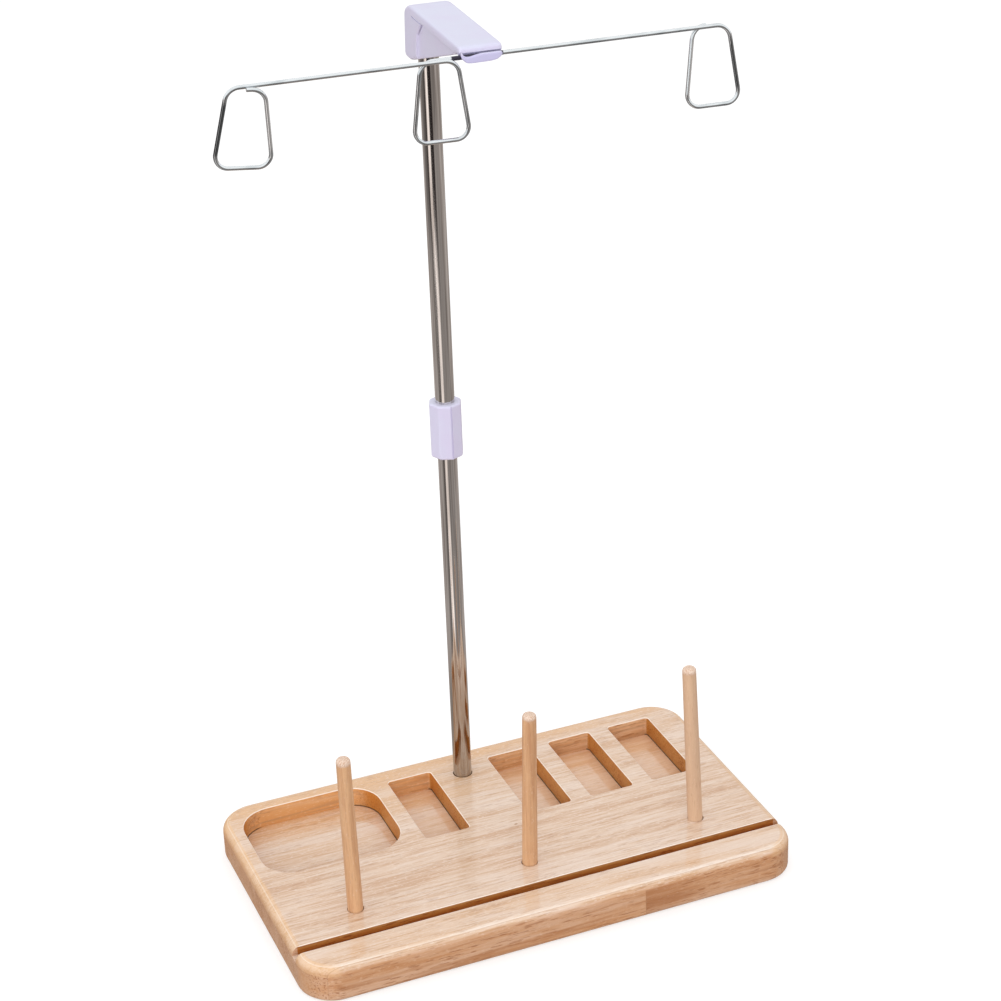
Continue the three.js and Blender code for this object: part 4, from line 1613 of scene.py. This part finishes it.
    def _inner_cutters(self) -> list[Workpiece]:
        """Cutters of the tube's socket, the wire's seat and mouth and the cored underside."""
        wide, seat = self.half_width + 2 * PAST, self.plate_bottom
        start, top = self.bottom - 2 * PAST, self.bore_top
        slit, undercut = (self.jaw_reach, self.slit_end), (self.undercut[0], self.slit_end)
        seat_y = self._y(self.seat_reach)
        return [
            Workpiece.rod("socket_drill", self.bore, start, top, FINE, (0.0, self.mast_y)),
            Workpiece.cross_rod("seat_drill", self.seat_radius, wide, seat_y, seat, THIN),
            self._block("slit_cutter", (-wide, wide), slit, (seat, self.top + PAST)),
            self._block("undercut_cutter", (-wide, wide), undercut, (seat, self.undercut[1])),
            *self._line_cutters(),
            *self._cores(),
        ]

    def _line_cutters(self) -> list[Workpiece]:
        """Cutters of the fine line under the plate and the sink beside the leaning step."""
        cutters = []
        _, (bend, low), (end, high) = self.step_line
        web = self.half_width - self.web_step
        for side in (-1, 1):
            for depth, reach in (
                (self.half_width - self.line_sink, (self.line_start, end)),
                (web - self.line_depth, (end, self.lip_span[0])),
            ):
                across = (side * depth, side * (self.half_width + 2 * PAST))
                cutters.append(self._block("line_cutter", across, reach, self.line_height))
            across = (side * (web - self.sink_depth), side * (web + self.web_step / 2))
            reach = (bend, bend + self.sink_foot)
            sink = self._block("sink_cutter", across, reach, (low, high))
            sink.edges(self._level_edge(bend, high)).move((0.0, bend - end, 0.0))
            sink.edges(self._level_edge(bend + self.sink_foot, high))
            cutters.append(sink.move((0.0, bend - end - self.sink_width, 0.0)).close())
        return cutters

    def _cores(self) -> list[Workpiece]:
        """Cutters of the two hollows in the arm's underside."""
        cutters = []
        height = (self.bottom - 2 * PAST, self.core_roof)
        for side in (-1, 1):
            core = self._block("core", [side * x for x in self.core_x], self.core_span, height)
            core.uprights().round_off(self.core_round, 3)
            cutters.append(core.rim(self.core_roof).round_off(self.core_round, 3).close())
        return cutters


@dataclass(frozen=True)
class Loop:
    """One loop of the guide. Its middle in millimetres, its lean and swing in degrees."""

    middle: float
    lean: float
    swing: float


@dataclass
class ThreadGuide:
    """The bent wire with its three loops. Sizes in millimetres."""

    mast_y: float = MAST_Y
    head_turn: float = HEAD_TURN
    radius: float = 1.0
    reach: float = WIRE_REACH
    height: float = WIRE_HEIGHT
    pitch: float = 2.5
    loop_height: float = 36.6
    top_half: float = 8.1
    bottom_half: float = 13.2
    top_bend: float = 6.7
    bottom_bend: float = 5.8
    left_tuck: float = 8.2
    right_tuck: float = 6.2
    bend_steps: int = 10
    loops: tuple[Loop, ...] = (
        Loop(-107.4, 5.3, 6.6),
        Loop(-20.1, 0.0, 0.0),
        Loop(109.7, 0.0, -5.2),
    )

    def build(self, steel: bpy.types.Material) -> bpy.types.Object:
        """Makes the wire.

        Args:
            steel: Its finish.

        Returns:
            The finished piece.
        """
        wire = Workpiece.wire("guide_wire_bend", self._points(), self.radius)
        wire.turn(self.head_turn, (0.0, self.mast_y, 0.0))
        return wire.dress(steel, "guide", ["thread_guide"], Slot.WIRE)

    def _spot(self, number: int, across: float, up: float, share: float) -> Vector:
        """A point of one loop.

        Args:
            number: Which loop, from the left.
            across: Distance from the loop's middle to the right.
            up: Height above the straight wire.
            share: How far the wire has gone round the loop, from 0 to 1.

        Returns:
            The point, with the arm straight forward.
        """
        loop = self.loops[number]
        lean, swing = math.radians(loop.lean), math.radians(loop.swing)
        from_corner = across + self.top_half
        along = from_corner * math.cos(lean) + up * math.sin(lean)
        drop = up * math.cos(lean) - from_corner * math.sin(lean)
        steps_left = len(self.loops) - 1 - number
        return Vector(
            (
                loop.middle - self.top_half + along,
                self.mast_y
                - self.reach
                - (steps_left - share) * self.pitch
                - drop * math.sin(swing),
                self.height + drop * math.cos(swing),
            )
        )

    def _points(self) -> list[Vector]:
        """Points along the wire's middle, with round bends."""
        corners = []
        for number in range(len(self.loops)):
            corners += [
                (self._spot(number, self.top_half, 0.0, 0.0), self.top_bend),
                (self._spot(number, self.bottom_half, -self.loop_height, 0.3), self.bottom_bend),
                (self._spot(number, -self.bottom_half, -self.loop_height, 0.6), self.bottom_bend),
                (self._spot(number, -self.top_half, 0.0, 1.0), self.top_bend),
            ]
        first = self._spot(0, self.top_half - self.left_tuck, 0.0, 0.0)
        last = self._spot(len(self.loops) - 1, self.right_tuck - self.top_half, 0.0, 1.0)
        route = [first, *(corner for corner, _ in corners), last]
        points = [first]
        for before, (corner, radius), after in zip(route, corners, route[2:]):
            points += self._bend(before, corner, after, radius)
        return [*points, last]

    def _bend(self, before: Vector, corner: Vector, after: Vector, radius: float) -> list[Vector]:
        """Points of the arc that rounds one corner."""
        back, onward = (before - corner).normalized(), (after - corner).normalized()
        half = back.angle(onward) / 2
        middle = corner + (back + onward).normalized() * (radius / math.sin(half))
        start = corner + back * (radius / math.tan(half)) - middle
        end = corner + onward * (radius / math.tan(half)) - middle
        return [
            middle + start.slerp(end, step / self.bend_steps).normalized() * radius
            for step in range(self.bend_steps + 1)
        ]


# Studio

@dataclass(frozen=True)
class Lamp:
    """One square soft lamp.

    Args:
        name: Its name.
        place: Where it hangs.
        size: Side of its face.
        power: Its power in watts.
        target: Point that it faces.
    """

    name: str
    place: Point
    size: float
    power: float
    target: Point


@dataclass
class Studio:
    """White floor, soft light and the camera. Sizes are in metres.

    The camera's angles and where the room dims are in radians. The horizon and its
    strip are in degrees about the upright axis.
    """

    camera_place: Point = (-0.39308, -1.01400, 0.75275)
    camera_yaw: float = 0.374688
    camera_pitch: float = 0.461590
    camera_roll: float = -0.037444
    lens: float = 88.51
    sensor: float = 36.0
    sight: float = 200.0
    floor_reach: float = 60.0
    paper: Colour = (0.62, 0.62, 0.62)
    paper_glow: float = 0.48
    lamps: tuple[Lamp, ...] = (
        Lamp("overhead_softbox", (0.2, 0.3, 1.7), 1.2, 2.8, (0.0, 0.0, 0.0)),
        Lamp("front_softbox", (-0.35, -1.60, 0.55), 1.1, 10.7, (0.0, 0.0, 0.15)),
        Lamp("left_softbox", (-1.60, -0.25, 0.40), 1.1, 7.0, (0.0, 0.0, 0.25)),
    )
    lamp_colour: Colour = (0.90, 0.94, 1.0)
    ceiling: Colour = (0.88, 0.88, 0.88)
    ceiling_from: Pair = (-0.02, 0.05)
    shadow: Colour = (0.02, 0.015, 0.015)
    dim_from: Pair = (2.2, 2.6)
    dim_to: Pair = (-2.84, -2.95)
    dim_share: float = 0.62
    warmth: Colour = (1.0, 0.90, 0.85)
    dark_strip: Pair = (-117.0, 22.0)
    upper_shift: float = 20.0
    upper_from: Pair = (-0.362, -0.342)
    horizon: tuple[Pair, ...] = (
        (-180.0, 0.38),
        (-166.0, 0.20),
        (-158.0, 0.15),
        (-149.0, 0.19),
        (-142.0, 0.95),
        (-137.0, 1.30),
        (-124.0, 1.30),
        (-118.0, 0.85),
        (-112.0, 0.26),
        (-95.0, 0.26),
        (-81.0, 0.31),
        (-72.0, 0.36),
        (-58.0, 0.26),
        (-41.0, 0.33),
        (-13.0, 0.48),
        (30.0, 0.46),
        (105.0, 0.52),
        (145.0, 0.43),
        (180.0, 0.38),
    )

    def build(self) -> None:
        """Sets up everything round the object."""
        scene = bpy.context.scene
        scene.view_settings.view_transform = "Standard"
        scene.view_settings.look = "None"
        self._floor()
        for lamp in self.lamps:
            self._hang(lamp)
        self._surround()
        self._camera()

    def _floor(self) -> None:
        """A large pale floor."""
        release()
        bpy.ops.mesh.primitive_grid_add(
            x_subdivisions=4, y_subdivisions=4, size=2 * self.floor_reach, location=(0.0, 0.0, 0.0)
        )
        floor = bpy.context.view_layer.objects.active
        floor.name = "studio_floor"
        material, sheet = new_finish("studio_paper")
        sheet.surface(
            Base_Color=self.paper,
            Roughness=0.9,
            Emission_Color=(1.0, 1.0, 1.0),
            Emission_Strength=self.paper_glow,
        )
        floor.data.materials.append(material)
        floor.visible_glossy = False
        floor.visible_diffuse = False

    def _hang(self, lamp: Lamp) -> None:
        """Adds one lamp."""
        release()
        bpy.ops.object.light_add(type="AREA", location=lamp.place)
        light = bpy.context.view_layer.objects.active
        light.name = lamp.name
        light.data.shape = "SQUARE"
        light.data.size = lamp.size
        light.data.energy = lamp.power
        light.data.color = self.lamp_colour
        light.visible_glossy = False
        away = Vector(lamp.place) - Vector(lamp.target)
        light.rotation_euler = away.to_track_quat("Z", "Y").to_euler()

    def _surround(self) -> None:
        """The room: white above, and dim below with one bright strip."""
        world = bpy.data.worlds.new("studio_room")
        bpy.context.scene.world = world
        world.use_nodes = True
        sheet = NodeSheet(world.node_tree)
        direction = sheet.make("ShaderNodeTexCoord", output="Generated")
        x, y, z = sheet.split(direction)
        azimuth = sheet.maths("ARCTAN2", y, x)
        upper = z.rise(*self.upper_from)
        shifted = azimuth + upper * math.radians(self.upper_shift)
        stops = [
            (0.5 + degrees / 360, tuple(tone * share for share in self.warmth))
            for degrees, tone in self.horizon
        ]
        low = sheet.ramp(shifted / (2 * math.pi) + 0.5, stops)
        centre, half = (math.radians(angle) for angle in self.dark_strip)
        dark = abs(azimuth - centre).rise(half, half * 0.65)
        dim = (azimuth.rise(*self.dim_from) + azimuth.rise(*self.dim_to)) * self.dim_share
        low = sheet.mix((dark + dim) * upper, low, self.shadow)
        colour = sheet.mix(z.rise(*self.ceiling_from), low, self.ceiling)
        background = sheet.make("ShaderNodeBackground", values={"Color": colour, "Strength": 1.0})
        sheet.make("ShaderNodeOutputWorld", values={"Surface": background})

    def _camera(self) -> None:
        """The camera at the photograph's view."""
        yaw, pitch, roll = self.camera_yaw, self.camera_pitch, self.camera_roll
        ahead = Vector(
            (
                math.sin(yaw) * math.cos(pitch),
                math.cos(yaw) * math.cos(pitch),
                -math.sin(pitch),
            )
        )
        right = Vector((math.cos(yaw), -math.sin(yaw), 0.0))
        up = right.cross(ahead)
        rolled_right = right * math.cos(roll) + up * math.sin(roll)
        rolled_up = up * math.cos(roll) - right * math.sin(roll)
        axes = Matrix((rolled_right, rolled_up, -ahead)).transposed().to_4x4()
        release()
        bpy.ops.object.camera_add()
        camera = bpy.context.view_layer.objects.active
        camera.name = "studio_camera"
        camera.matrix_world = Matrix.Translation(self.camera_place) @ axes
        camera.data.lens = self.lens
        camera.data.sensor_width = self.sensor
        camera.data.clip_end = self.sight
        bpy.context.scene.camera = camera


def main() -> None:
    """Builds the studio and every piece."""
    logging.basicConfig(level=logging.INFO, format="%(name)s: %(message)s")
    Studio().build()
    plastic = WhiteMoulding().material()
    Board().build(BoardTimber().material())
    SpoolPins().build(DowelTimber().material())
    Mast().build(DrawnTube().material(), plastic, ZincPlate().material())
    Head().build(plastic)
    ThreadGuide().build(GuideSteel().material())


if __name__ == "__main__":
    main()
